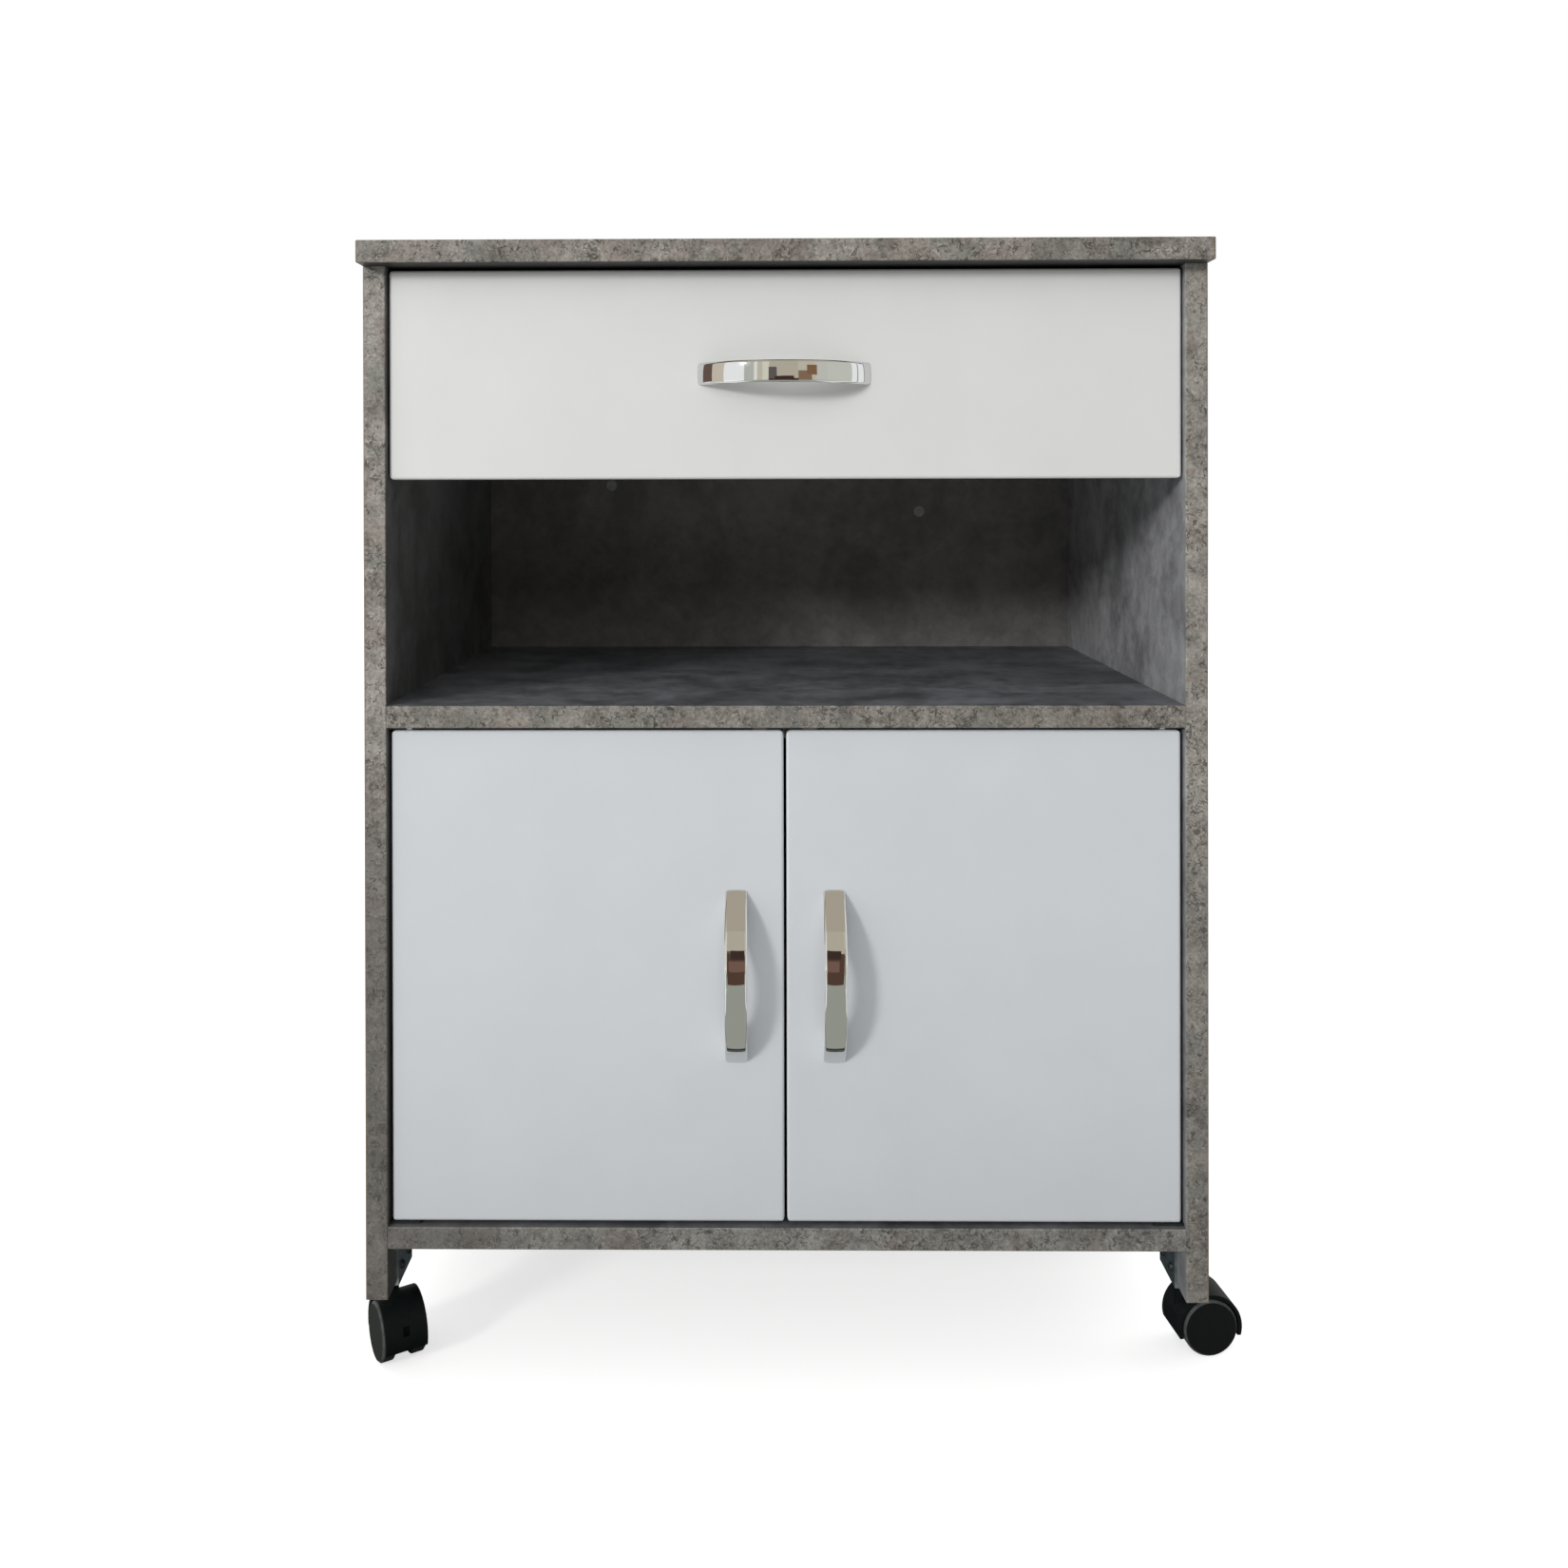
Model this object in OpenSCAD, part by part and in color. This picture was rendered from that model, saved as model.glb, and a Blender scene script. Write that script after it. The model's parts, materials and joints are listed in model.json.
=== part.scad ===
// Rolling kitchen stand: a particle board carcass on four swivel casters, with a drawer on roller
// runners, an open niche and a cupboard with two pivot-hung doors.
// X runs to the right, Y to the rear and Z up. Z = 0 is the floor and X = 0 the middle of the carcass.
// Every piece is drawn with Y = 0 at the front edge of the side panels, and placed() then moves it
// so that Y = 0 is half-way between the drawer handle's front and the nail heads at the back.

/* [Carcass] */
// Overall width of the carcass
carcass_w = 600; // [560:10:800]
// Height of the side panels
side_h = 737; // [720:1:860]
// Depth of the side panels
side_d = 380; // [380:5:480]
// Thickness of the carcass boards
board_t = 16; // [16:0.5:19]
// How far the top panel stands out in front of the side panels
top_overhang = 17; // [5:1:22]
// How far the side panels reach below the bottom panel
side_drop = 36; // [36:1:60]
// Clear height of the cupboard behind the doors
cupboard_h = 356; // [300:1:370]
// Thickness of the back panel
back_t = 3; // [2.5:0.5:5]
// Inset of the back panel's edges from the sides of the carcass
back_inset = 2; // [1:0.5:5]
// Rounding of the banded board edges
band_r = 1; // [0.5:0.25:2]

/* [Fronts] */
// Thickness of the drawer front and the doors
front_t = 16; // [16:0.5:19]
// How far the fronts sit behind the front edges of the side panels
front_recess = 4.5; // [2:0.5:8]
// Rounding of the fronts' outer edges
front_r = 2; // [1.5:0.25:3]
// Rounding of the fronts' corners, seen from the front
front_corner_r = 4; // [2:0.5:6]
// Gap round the doors and above the drawer front
front_gap = 2.2; // [2.2:0.1:3]
// Gap at each end of the drawer front
drawer_front_gap = 1.5; // [1:0.1:3]
// Gap between the two doors
door_gap = 2; // [1.5:0.1:4]
// Height of the drawer front
drawer_front_h = 149.5; // [140:0.5:170]

/* [Drawer box] */
// Thickness of the drawer's sides and back
drawer_t = 12; // [12:1:16]
// Height of the drawer's sides
drawer_side_h = 104; // [90:1:110]
// Height of the drawer's sides above the lower edge of the drawer front
drawer_rise = 14; // [14:1:24]
// Thickness of the drawer bottom
drawer_bottom_t = 3; // [2.5:0.5:5]
// Height of the drawer bottom's groove above the lower edge of the sides
groove_rise = 10; // [8:1:16]
// Depth of the drawer bottom's groove
groove_depth = 6; // [4:0.5:7]
// Play of the drawer bottom in its groove
groove_play = 0.2; // [0.1:0.1:0.4]
// How far the drawer's back stands in front of the ends of its sides
drawer_back_inset = 4; // [0:1:20]
// Length of the drawer's dowels
drawer_dowel_l = 24; // [20:1:30]
// Diameter of the drawer's dowels
drawer_dowel_d = 6; // [5:0.5:8]
// Distance of the drawer's dowels from its bottom and from the top of its sides
drawer_dowel_inset = 16; // [12:1:30]
// Board left behind the end of a drawer dowel or below the tip of a drawer rail screw
board_skin = 2; // [1:0.5:4]

/* [Runners] */
// Space between the drawer side and the side panel
runner_space = 12.5; // [12.5:0.5:14]
// Length of the cabinet and drawer rails, and of the drawer's sides
runner_l = 345; // [300:5:350]
// Sheet thickness of the rails
rail_t = 1.2; // [1:0.1:1.5]
// Height of the cabinet rail's channel
rail_h = 20; // [18:0.5:22]
// Length of the cabinet rail's open front end, which holds the front roller
rail_nose = 24; // [22:1:30]
// Play between a runner roller and the rail
roller_play = 0.3; // [0.2:0.05:0.5]
// Width of the runner rollers
roller_w = 6; // [5:0.25:6]
// Diameter of the runner rollers' rivets
roller_pin_d = 4; // [3:0.5:5]
// Height of the drawer rail's lip above the channel
lip_play = 0.5; // [0.3:0.1:1]
// Gap between the drawer front and the cabinet rail
rail_setback = 2.5; // [2:0.5:5]
// Height of the cabinet rail's middle above the lower edge of the drawer's sides
rail_rise = 6; // [5:0.5:8]
// Gap between the cabinet rail's flanges and the drawer's side
rail_clear = 3.5; // [3:0.5:5]
// Gap between a runner roller and the rail that carries it
roller_side_gap = 1.4; // [1:0.1:2]
// Height of a runner roller's rivet head above its roller
rivet_head_t = 0.8; // [0.5:0.1:1.2]
// Width of the rivet head's shoulder
rivet_shoulder = 1; // [0.5:0.25:1.5]
// Distance of the rear roller from the end of the drawer rail
roller_end = 3; // [2:1:10]
// Distance of a cabinet rail's first screw from the rail's nose
rail_screw_front = 16; // [10:1:40]
// Distance of a cabinet rail's last screw from the rail's end
rail_screw_rear = 30; // [15:1:60]
// Distance of a drawer rail's first screw from the drawer front
drawer_screw_front = 40; // [20:1:80]
// Distance of a drawer rail's last screw from the rail's end
drawer_screw_rear = 60; // [30:1:90]

/* [Handles] */
// Overall length of a handle
handle_l = 124; // [116:1:140]
// Distance between a handle's screws
handle_pitch = 96; // [88:1:104]
// How far a handle stands out
handle_out = 28; // [26:1:34]
// Width of a handle
handle_w = 15.5; // [12:0.5:18]
// Thickness of a handle's bow in the middle
handle_t = 4.5; // [3:0.5:6]
// Length of each foot of a handle
handle_foot = 21; // [19:1:24]
// Bevel along the edges of a handle
handle_bevel = 1.4; // [0.6:0.1:2]
// Distance from a door's inner edge to its handle's middle
handle_inset = 34; // [20:1:60]
// Thread diameter of the handle screws
handle_screw_d = 4; // [4:0.5:5]
// Depth of the threaded holes in a handle's feet
handle_thread = 8; // [6:0.5:9]

/* [Door pivots] */
// Distance from a door's outer edge to its pivot
pivot_inset = 13; // [12:0.5:16]
// Diameter of the pivot pins
pivot_pin_d = 5; // [4:0.5:6]
// How deep a pivot pin reaches into the door
pivot_pin_l = 7; // [5:0.5:10]
// Thickness of the pivot plates
pivot_plate_t = 1.5; // [1.2:0.1:1.6]
// Width of the pivot plates
pivot_plate_w = 22; // [20:1:24]
// Length of the pivot plates, front to rear
pivot_plate_l = 40; // [38:1:50]
// Wall of the pivot bushes in the doors
bush_wall = 1.5; // [1:0.25:2]
// Width of the bush flange outside the bush
bush_flange = 1.5; // [1:0.25:2]
// Play between a bush flange and its pivot plate
pivot_play = 0.1; // [0.05:0.05:0.3]
// Radial clearance of the turning fits
fit = 0.05; // [0.02:0.01:0.08]

/* [Magnetic catch] */
// Length of the double catch
catch_w = 48; // [48:1:60]
// Depth of the catch
catch_d = 14; // [12:1:20]
// Height of the catch
catch_h = 11; // [9:1:14]
// Distance of the catch's screws from the middle
catch_screw_x = 7; // [5:0.5:7]
// Distance of each strike plate from the middle
strike_x = 18; // [17:0.5:19]
// Width of a strike plate
strike_w = 10; // [8:0.5:10]
// Thickness of a strike plate
strike_t = 1; // [0.8:0.1:1.2]
// Gap between a strike plate and the catch
strike_gap = 0.3; // [0.2:0.1:0.5]
// How far a strike plate reaches below the middle of its catch
strike_drop = 18; // [16:1:24]
// Distance of a strike plate's screw below the middle of its catch
strike_screw_drop = 12; // [10.5:0.5:14]
// How far the strike plate's tab stays behind the door's face
strike_tab_inset = 3; // [2:0.5:8]
// Thickness of the catch above its screws' heads
catch_web = 3; // [2:0.5:5]
// Radial play of a screw head in its pocket
pocket_play = 0.3; // [0.2:0.1:0.5]

/* [Inner shelf] */
// Height of the inner shelf's underside above the bottom panel
inner_shelf_rise = 170; // [120:1:200]
// Setback of the inner shelf behind the side panels' front edges
inner_shelf_setback = 45; // [40:1:100]
// Gap at each end of the inner shelf
inner_shelf_gap = 1; // [0.5:0.5:2]
// Diameter of the shelf pins
shelf_pin_d = 5; // [4:0.5:6]
// Diameter of a shelf pin's head
shelf_pin_head = 8; // [7:0.5:10]
// Spacing of the shelf pin holes
shelf_pin_pitch = 32; // [25:1:40]
// Distance of the front shelf pins behind the inner shelf's front edge
shelf_pin_front = 35; // [20:1:80]
// Distance of the rear shelf pins from the side panels' rear edges
shelf_pin_rear = 55; // [20:1:80]
// How deep a shelf pin sits in the side panel
shelf_pin_seat = 9; // [7:1:12]
// How far a shelf pin's head stands out
shelf_pin_out = 8; // [6:1:10]

/* [Casters] */
// Height of the side panels above the floor
caster_h = 61.5; // [61.5:0.5:70]
// Diameter of a caster wheel
wheel_d = 41; // [36:1:42]
// Width over the two wheels
wheels_w = 33; // [30:1:40]
// Distance from the swivel axis to the wheels' axle
trail = 16; // [15:0.5:20]
// Distance from the outer face of the carcass to the swivel axis
swivel_inset = 4.5; // [4.5:0.5:8]
// Distance from the side panels' front and rear edges to the swivel axis
swivel_setback = 51.5; // [45:0.5:80]
// Direction of the front left caster's axle, counter-clockwise from the right
front_left_turn = 31; // [0:1:360]
// Direction of the front right caster's axle, counter-clockwise from the right
front_right_turn = 97; // [0:1:360]
// Wall of the caster hoods
hood_wall = 2.5; // [2:0.25:3]
// Gap between a hood and its wheels
hood_gap = 1.2; // [0.8:0.1:1.6]
// Thickness of the hood's middle web
web_w = 12; // [11.5:0.5:13]
// Diameter of the hood's neck
neck_d = 11; // [11:0.5:13]
// Diameter of the swivel stem
stem_d = 7; // [6:0.5:7]
// Diameter of the caster axles
axle_d = 5; // [4:0.5:6]
// Sheet thickness of the caster brackets
bracket_t = 2; // [1.5:0.25:3]
// Length of the caster brackets
bracket_l = 38; // [36:1:80]
// How far the brackets' middles lie beyond the swivel axes, towards the side panel's near end
bracket_ahead = 11; // [0:1:12]
// Height of the caster brackets
bracket_h = 35; // [30:1:36]
// Distance of the bracket screws from the bracket's ends
bracket_screw_inset = 9; // [6:1:14]
// Height of the lower bracket screws above the bracket's leg
bracket_screw_rise = 9; // [6:1:12]
// Distance of the upper bracket screws from the bracket's top edge
bracket_screw_top = 8; // [6:1:12]
// Height of the swivel stem's lower end above the axle
stem_rise = 8; // [6:1:12]
// How far a hood's lower edge lies below the axle
hood_drop = 6.5; // [3.5:0.5:8]
// Gap between a hood's web and the wheels' tread
web_inset = 3; // [2:0.5:6]
// Gap between a hood's neck and its bracket
neck_gap = 0.3; // [0.2:0.1:1]
// Width of the hole in a hood's trailing face
hood_hole_w = 5; // [3:0.5:8]
// Height of the hole in a hood's trailing face
hood_hole_h = 6.5; // [3:0.5:8]
// Height of the hole's lower edge above the axle
hood_hole_rise = 4; // [-1:0.5:6]
// How far a wheel's outer face stands out from its hood
wheel_proud = 1; // [0.5:0.25:2]
// Depth of the hole in a hood's trailing face
hood_hole_depth = 4; // [2:0.5:6]
// Gap between a wheel and its hood's web
wheel_web_gap = 0.5; // [0.3:0.1:0.8]
// Thickness of a wheel's outer face
wheel_cap = 2.4; // [2:0.2:4]
// Thickness of a wheel's rim and of its hub
wheel_rim = 3; // [2:0.5:4]
// Bevel round a wheel's outer face
wheel_bevel = 1.5; // [0.5:0.25:2]

/* [Fasteners] */
// Shank diameter of the board screws
screw_d = 3.5; // [3:0.5:4]
// Length of the board screws
screw_l = 13; // [11:0.5:13]
// Head diameter of the board screws
screw_head_d = 7; // [6:0.5:8]
// Head height of the board screws
screw_head_h = 1.8; // [1.4:0.1:2]
// Diameter of the cam locks
cam_d = 15; // [12:1:16]
// Thickness of the cam locks
cam_t = 12.5; // [11:0.5:13]
// Distance from a board's end to its cam locks
cam_reach = 34; // [24:1:36]
// Shank diameter of the cam bolts
cam_bolt_d = 5; // [4:0.5:6]
// Diameter of the cam bolts' heads
cam_bolt_head_d = 7; // [6:0.5:8]
// Thread length of the cam bolts
cam_bolt_thread = 11; // [9:0.5:12]
// Diameter of the wooden dowels
dowel_d = 8; // [6:1:8]
// Length of the wooden dowels
dowel_l = 30; // [25:1:35]
// How deep a dowel sits in the board that it stands on
dowel_seat = 10; // [8:1:12]
// Distance of the first and last cam locks from the front and rear edges
cam_setback = 50; // [45:1:80]
// Shank diameter of the back panel nails
nail_d = 1.6; // [1.4:0.1:2]
// Length of the back panel nails
nail_l = 20; // [15:1:25]
// Head diameter of the nails
nail_head_d = 4; // [3:0.5:5]
// Head thickness of the nails
nail_head_t = 0.8; // [0.6:0.1:1]
// Distance of the outermost nails from the back panel's ends
nail_end = 24; // [12:1:60]
// Diameter of the hole plugs in the back panel
plug_d = 11; // [8:0.5:16]
// Width of a hole plug's flange outside its stem
plug_flange = 2; // [1.5:0.5:4]
// Distance of the left plug from the middle
left_plug_x = 165; // [60:1:250]
// Height of the left plug above the niche's floor
left_plug_rise = 159; // [30:1:280]
// Distance of the right plug from the middle
right_plug_x = 138; // [60:1:250]
// Height of the right plug above the niche's floor
right_plug_rise = 133; // [30:1:280]

/* [Hidden] */

$fn = 48;
cut = 1;                       // how far a cutting shape runs past the surface it cuts
LEFT = -1;
RIGHT = 1;
FRONT = 0;
REAR = 1;
concrete = [0.49, 0.48, 0.46];
front_white = [0.88, 0.89, 0.9];
zinc = [0.7, 0.74, 0.78];
rail_white = [0.9, 0.9, 0.88];
chrome_grey = [0.85, 0.85, 0.84];
caster_black = [0.07, 0.07, 0.07];
nylon = [0.93, 0.93, 0.9];
beech = [0.85, 0.7, 0.5];
hardboard = [0.46, 0.45, 0.43];

// Carcass
inner_x = carcass_w / 2 - board_t;
opening_w = 2 * inner_x;
side_z = caster_h;
side_top = side_z + side_h;
stand_h = side_top + board_t;
bottom_z = side_z + side_drop;
cupboard_z = bottom_z + board_t;
shelf_z = cupboard_z + cupboard_h;
niche_z = shelf_z + board_t;
back_z = bottom_z;
back_h = side_top - back_z;
cam_y = [cam_setback, side_d - cam_setback];
dowel_y = side_d / 2;
shelf_mids = [bottom_z + board_t / 2, shelf_z + board_t / 2];
cam_bore_d = cam_bolt_head_d + 0.6;
box_front = front_recess - handle_out;
box_rear = side_d + back_t + nail_head_t;
y_shift = -(box_front + box_rear) / 2;

// Fronts
front_back = front_recess + front_t;
door_w = (opening_w - 2 * front_gap - door_gap) / 2;
door_h = cupboard_h - 2 * front_gap;
door_z = cupboard_z + front_gap;
door_mid_z = door_z + door_h / 2;
door_handle_x = door_gap / 2 + handle_inset;
drawer_front_w = opening_w - 2 * drawer_front_gap;
drawer_front_z = side_top - front_gap - drawer_front_h;

// Drawer box and runners
drawer_z = drawer_front_z + drawer_rise;
drawer_x = inner_x - runner_space;
drawer_bottom_z = drawer_z + groove_rise;
groove_h = drawer_bottom_t + 2 * groove_play;
drawer_rear = front_back + runner_l;
drawer_inner_x = drawer_x - drawer_t;
drawer_back_y = drawer_rear - drawer_back_inset - drawer_t;
drawer_dowel_z = [drawer_bottom_z + drawer_dowel_inset,
                  drawer_z + drawer_side_h - drawer_dowel_inset];
drawer_dowel_seat = drawer_t - board_skin;     // in the drawer front and in the drawer's sides
drawer_screw_l = rail_t + groove_rise - groove_play - board_skin;   // stops short of the groove
rail_y = front_back + rail_setback;
rail_mid = drawer_z + rail_rise;
rail_flange = runner_space - rail_clear;
roller_r = rail_h / 2 - rail_t - roller_play;
lip_z = rail_mid + rail_h / 2 + lip_play;
front_roller_z = lip_z - roller_play - roller_r;
front_roller_y = rail_y + rail_nose / 2;
rear_roller_y = front_back + runner_l - roller_r - roller_end;
roller_x = drawer_x + rail_t + roller_side_gap;
rail_screw_y = [rail_y + rail_nose + rail_screw_front, rail_y + runner_l / 2,
                rail_y + runner_l - rail_screw_rear];
drawer_rail_screw_y = [front_back + drawer_screw_front, front_back + runner_l / 2,
                       front_back + runner_l - drawer_screw_rear];

// Door pivots and catch
pivot_x = inner_x - front_gap - pivot_inset;
pivot_y = front_recess + front_t / 2;
pivot_plate_y = front_recess + 0.5;
pivot_screws = [[inner_x - 6, pivot_plate_y + pivot_plate_l - 14],
                [inner_x - pivot_plate_w + 6, pivot_plate_y + pivot_plate_l - 6]];
bush_r = pivot_pin_d / 2 + fit + bush_wall;
bush_l = pivot_pin_l + 1;
flange_t = front_gap - pivot_plate_t - pivot_play;
catch_y = front_back + strike_t + strike_gap;
catch_z = shelf_z - catch_h;
strike_h = catch_h - front_gap;

// Inner shelf
inner_shelf_z = cupboard_z + inner_shelf_rise;
inner_shelf_d = side_d - inner_shelf_setback - 2;
shelf_pin_y = [inner_shelf_setback + shelf_pin_front, side_d - shelf_pin_rear];
shelf_pin_z = inner_shelf_z - shelf_pin_head / 2;

// Casters
wheel_r = wheel_d / 2;
hood_in_r = wheel_r + hood_gap;
hood_r = hood_in_r + hood_wall;
hood_w = wheels_w - 2 * wheel_proud;
hood_cut_z = wheel_r - hood_drop;
web_r = wheel_r - web_inset;
neck_top = caster_h - bracket_t - neck_gap;
stem_low = wheel_r + stem_rise;
swivel_x = carcass_w / 2 - swivel_inset;
wheel_t = wheels_w / 2 - web_w / 2 - wheel_web_gap;
axle_end = wheels_w / 2 - wheel_cap - 0.3;
bracket_screw_y = [-bracket_l / 2 + bracket_screw_inset, bracket_l / 2 - bracket_screw_inset];
bracket_screw_z = [caster_h + bracket_screw_rise, caster_h + bracket_h - bracket_screw_top];

// Fasteners
nail_x = carcass_w / 2 - board_t / 2;
nail_rows = 6;
nail_side_z = [for (i = [0 : nail_rows - 1])
    back_z + nail_end + i * (back_h - 2 * nail_end) / (nail_rows - 1)];
nail_shelf_x = [-carcass_w / 3.2, 0, carcass_w / 3.2];
plugs = [[-left_plug_x, niche_z + left_plug_rise], [right_plug_x, niche_z + right_plug_rise]];
plug_stem_d = plug_d - 2 * plug_flange;

module placed() { translate([0, y_shift, 0]) children(); }

// Draws a right-hand piece on the given side of the carcass
module on_side(side) { mirror([side < 0 ? 1 : 0, 0, 0]) children(); }

module cyl_x(r, x0, x1) { translate([x0, 0, 0]) rotate([0, 90, 0]) cylinder(r = r, h = x1 - x0); }
module cyl_y(r, y0, y1) { translate([0, y0, 0]) rotate([-90, 0, 0]) cylinder(r = r, h = y1 - y0); }

// A board's cross-section: d deep, t thick, its front corners rounded
module banded_section(d, t, r) {
    translate([r, 0]) square([d - r, t]);
    translate([0, r]) square([r, t - 2 * r]);
    translate([r, r]) circle(r);
    translate([r, t - r]) circle(r);
}

module rounded_rect(w, h, r) {
    translate([r, 0]) square([w - 2 * r, h]);
    translate([0, r]) square([w, h - 2 * r]);
    for (x = [r, w - r], y = [r, h - r]) translate([x, y]) circle(r);
}

// A horizontal board with its banded edge to the front
module flat_board(x0, x1, y0, y1, z) {
    translate([x0, y0, z]) rotate([90, 0, 90]) linear_extrude(x1 - x0)
        banded_section(y1 - y0, board_t, band_r);
}

// A front: its four outer edges and its corners are rounded
module front_board(x0, w, z0, h) {
    translate([x0, front_recess, z0]) intersection() {
        translate([0, front_t, 0]) rotate([90, 0, 0]) linear_extrude(front_t)
            rounded_rect(w, h, front_corner_r);
        rotate([90, 0, 90]) linear_extrude(w) banded_section(front_t, h, front_r);
        translate([w, 0, 0]) rotate([0, 0, 90]) linear_extrude(h)
            banded_section(front_t, w, front_r);
    }
}

// A cross-recessed screw along -Z with the underside of its head at Z = 0
module screw(d, l, head_d, head_h) {
    difference() {
        union() {
            translate([0, 0, -l]) cylinder(d = d, h = l, $fn = 24);
            cylinder(d1 = head_d, d2 = head_d * 0.7, h = head_h, $fn = 24);
        }
        for (a = [0, 90]) rotate([0, 0, a])
            translate([-head_d / 4, -0.4, head_h * 0.4]) cube([head_d / 2, 0.8, head_h]);
    }
}

module board_screw() { screw(screw_d, screw_l, screw_head_d, screw_head_h); }

// The places of the board screws' heads: a mark at each, with Z along the screw towards its head
module rail_screw_places() {
    for (y = rail_screw_y) translate([inner_x - rail_t, y, rail_mid]) rotate([0, -90, 0]) children();
}
module bracket_screw_places() {
    for (end = [FRONT, REAR], y = bracket_screw_y, z = bracket_screw_z)
        translate([inner_x - bracket_t, bracket_y(end) + y, z]) rotate([0, -90, 0]) children();
}
module upper_pivot_screw_places() {
    for (p = pivot_screws) translate([p.x, p.y, shelf_z - pivot_plate_t]) mirror([0, 0, 1]) children();
}
module lower_pivot_screw_places() {
    for (p = pivot_screws) translate([p.x, p.y, cupboard_z + pivot_plate_t]) children();
}
module catch_screw_places() {
    for (s = [LEFT, RIGHT]) translate([s * catch_screw_x, catch_y + catch_d / 2, shelf_z - catch_web])
        mirror([0, 0, 1]) children();
}

module screw_bore(l = screw_l) { translate([0, 0, -l]) cylinder(d = screw_d, h = l + cut, $fn = 24); }

function swivel_y(end) = end == FRONT ? swivel_setback : side_d - swivel_setback;
function bracket_y(end) = swivel_y(end) + (end == FRONT ? -bracket_ahead : bracket_ahead);
function turn(side, end) = end == FRONT ? (side == LEFT ? front_left_turn : front_right_turn)
                                        : 180 + (side == LEFT ? front_right_turn : front_left_turn);

// ---------------------------------------------------------------- carcass

module side_panel(side) {
    color(concrete) placed() on_side(side) difference() {
        translate([inner_x, 0, side_z]) linear_extrude(side_h)
            mirror([1, -1, 0]) banded_section(side_d, board_t, band_r);
        // top joint: a cam bore in the face and a bolt bore in the end at each cam, and a dowel bore
        for (y = cam_y) {
            translate([0, y, side_top - cam_reach]) cyl_x(cam_d / 2, inner_x - cut, inner_x + cam_t);
            translate([inner_x + board_t / 2, y, side_top - cam_reach])
                cylinder(d = cam_bore_d, h = cam_reach + cut);
        }
        translate([inner_x + board_t / 2, dowel_y, side_top - dowel_l + dowel_seat - cut])
            cylinder(d = dowel_d, h = dowel_l);
        // shelf joints: threads for the cam bolts and a dowel seat
        for (z = shelf_mids) {
            for (y = cam_y) translate([0, y, z])
                cyl_x(cam_bolt_d / 2, inner_x - cut, inner_x + cam_bolt_thread);
            translate([0, dowel_y, z]) cyl_x(dowel_d / 2, inner_x - cut, inner_x + dowel_seat);
        }
        for (y = shelf_pin_y, i = [-1 : 1])
            translate([0, y, shelf_pin_z + i * shelf_pin_pitch])
                cyl_x(shelf_pin_d / 2, inner_x - cut, inner_x + shelf_pin_seat);
        rail_screw_places() screw_bore();
        bracket_screw_places() screw_bore();
        for (z = nail_side_z) translate([nail_x, 0, z])
            cyl_y(nail_d / 2, side_d + back_t - nail_l, side_d + cut);
    }
}

module left_side_panel() { side_panel(LEFT); }
module right_side_panel() { side_panel(RIGHT); }

module top_panel() {
    color(concrete) placed() difference() {
        intersection() {
            flat_board(-carcass_w / 2, carcass_w / 2, -top_overhang, side_d + back_t, side_top);
            translate([-carcass_w / 2, side_d + back_t + cut, side_top]) rotate([90, 0, 0])
                linear_extrude(top_overhang + side_d + back_t + 2 * cut)
                    rounded_rect(carcass_w, board_t, band_r);
        }
        for (s = [LEFT, RIGHT]) {
            for (y = cam_y) translate([s * (inner_x + board_t / 2), y, side_top - cut])
                cylinder(d = cam_bolt_d, h = cam_bolt_thread + cut);
            translate([s * (inner_x + board_t / 2), dowel_y, side_top - cut])
                cylinder(d = dowel_d, h = dowel_seat + cut);
        }
    }
}

// The bores in a shelf between the sides: cams from below, bolts and dowels from its ends, and nails
module shelf_bores(z) {
    for (s = [LEFT, RIGHT]) on_side(s) {
        for (y = cam_y) {
            translate([inner_x - cam_reach, y, z - cut]) cylinder(d = cam_d, h = cam_t + cut);
            translate([0, y, z + board_t / 2])
                cyl_x(cam_bore_d / 2, inner_x - cam_reach, inner_x + cut);
        }
        translate([0, dowel_y, z + board_t / 2])
            cyl_x(dowel_d / 2, inner_x - dowel_l + dowel_seat - cut, inner_x + cut);
    }
    for (x = nail_shelf_x) translate([x, 0, z + board_t / 2])
        cyl_y(nail_d / 2, side_d + back_t - nail_l, side_d + cut);
}

module middle_shelf() {
    color(concrete) placed() difference() {
        flat_board(-inner_x, inner_x, 0, side_d, shelf_z);
        shelf_bores(shelf_z);
        for (s = [LEFT, RIGHT]) on_side(s) upper_pivot_screw_places() screw_bore();
        catch_screw_places() screw_bore();
    }
}

module bottom_panel() {
    color(concrete) placed() difference() {
        flat_board(-inner_x, inner_x, 0, side_d, bottom_z);
        shelf_bores(bottom_z);
        for (s = [LEFT, RIGHT]) on_side(s) lower_pivot_screw_places() screw_bore();
    }
}

module back_panel() {
    color(hardboard) placed() difference() {
        translate([-carcass_w / 2 + back_inset, side_d, back_z])
            cube([carcass_w - 2 * back_inset, back_t, back_h]);
        nail_places() cylinder(d = nail_d, h = nail_l, center = true);
        for (p = plugs) translate([p.x, 0, p.y])
            cyl_y(plug_stem_d / 2, side_d - cut, side_d + back_t + cut);
    }
}

// The places of the nails' heads, with Z to the rear
module nail_places() {
    for (s = [LEFT, RIGHT], z = nail_side_z)
        translate([s * nail_x, side_d + back_t, z]) rotate([-90, 0, 0]) children();
    for (x = nail_shelf_x, z = shelf_mids)
        translate([x, side_d + back_t, z]) rotate([-90, 0, 0]) children();
}

module back_panel_nails() {
    color(zinc) placed() nail_places() {
        translate([0, 0, -nail_l]) cylinder(d = nail_d, h = nail_l, $fn = 16);
        cylinder(d = nail_head_d, h = nail_head_t, $fn = 24);
    }
}

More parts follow.
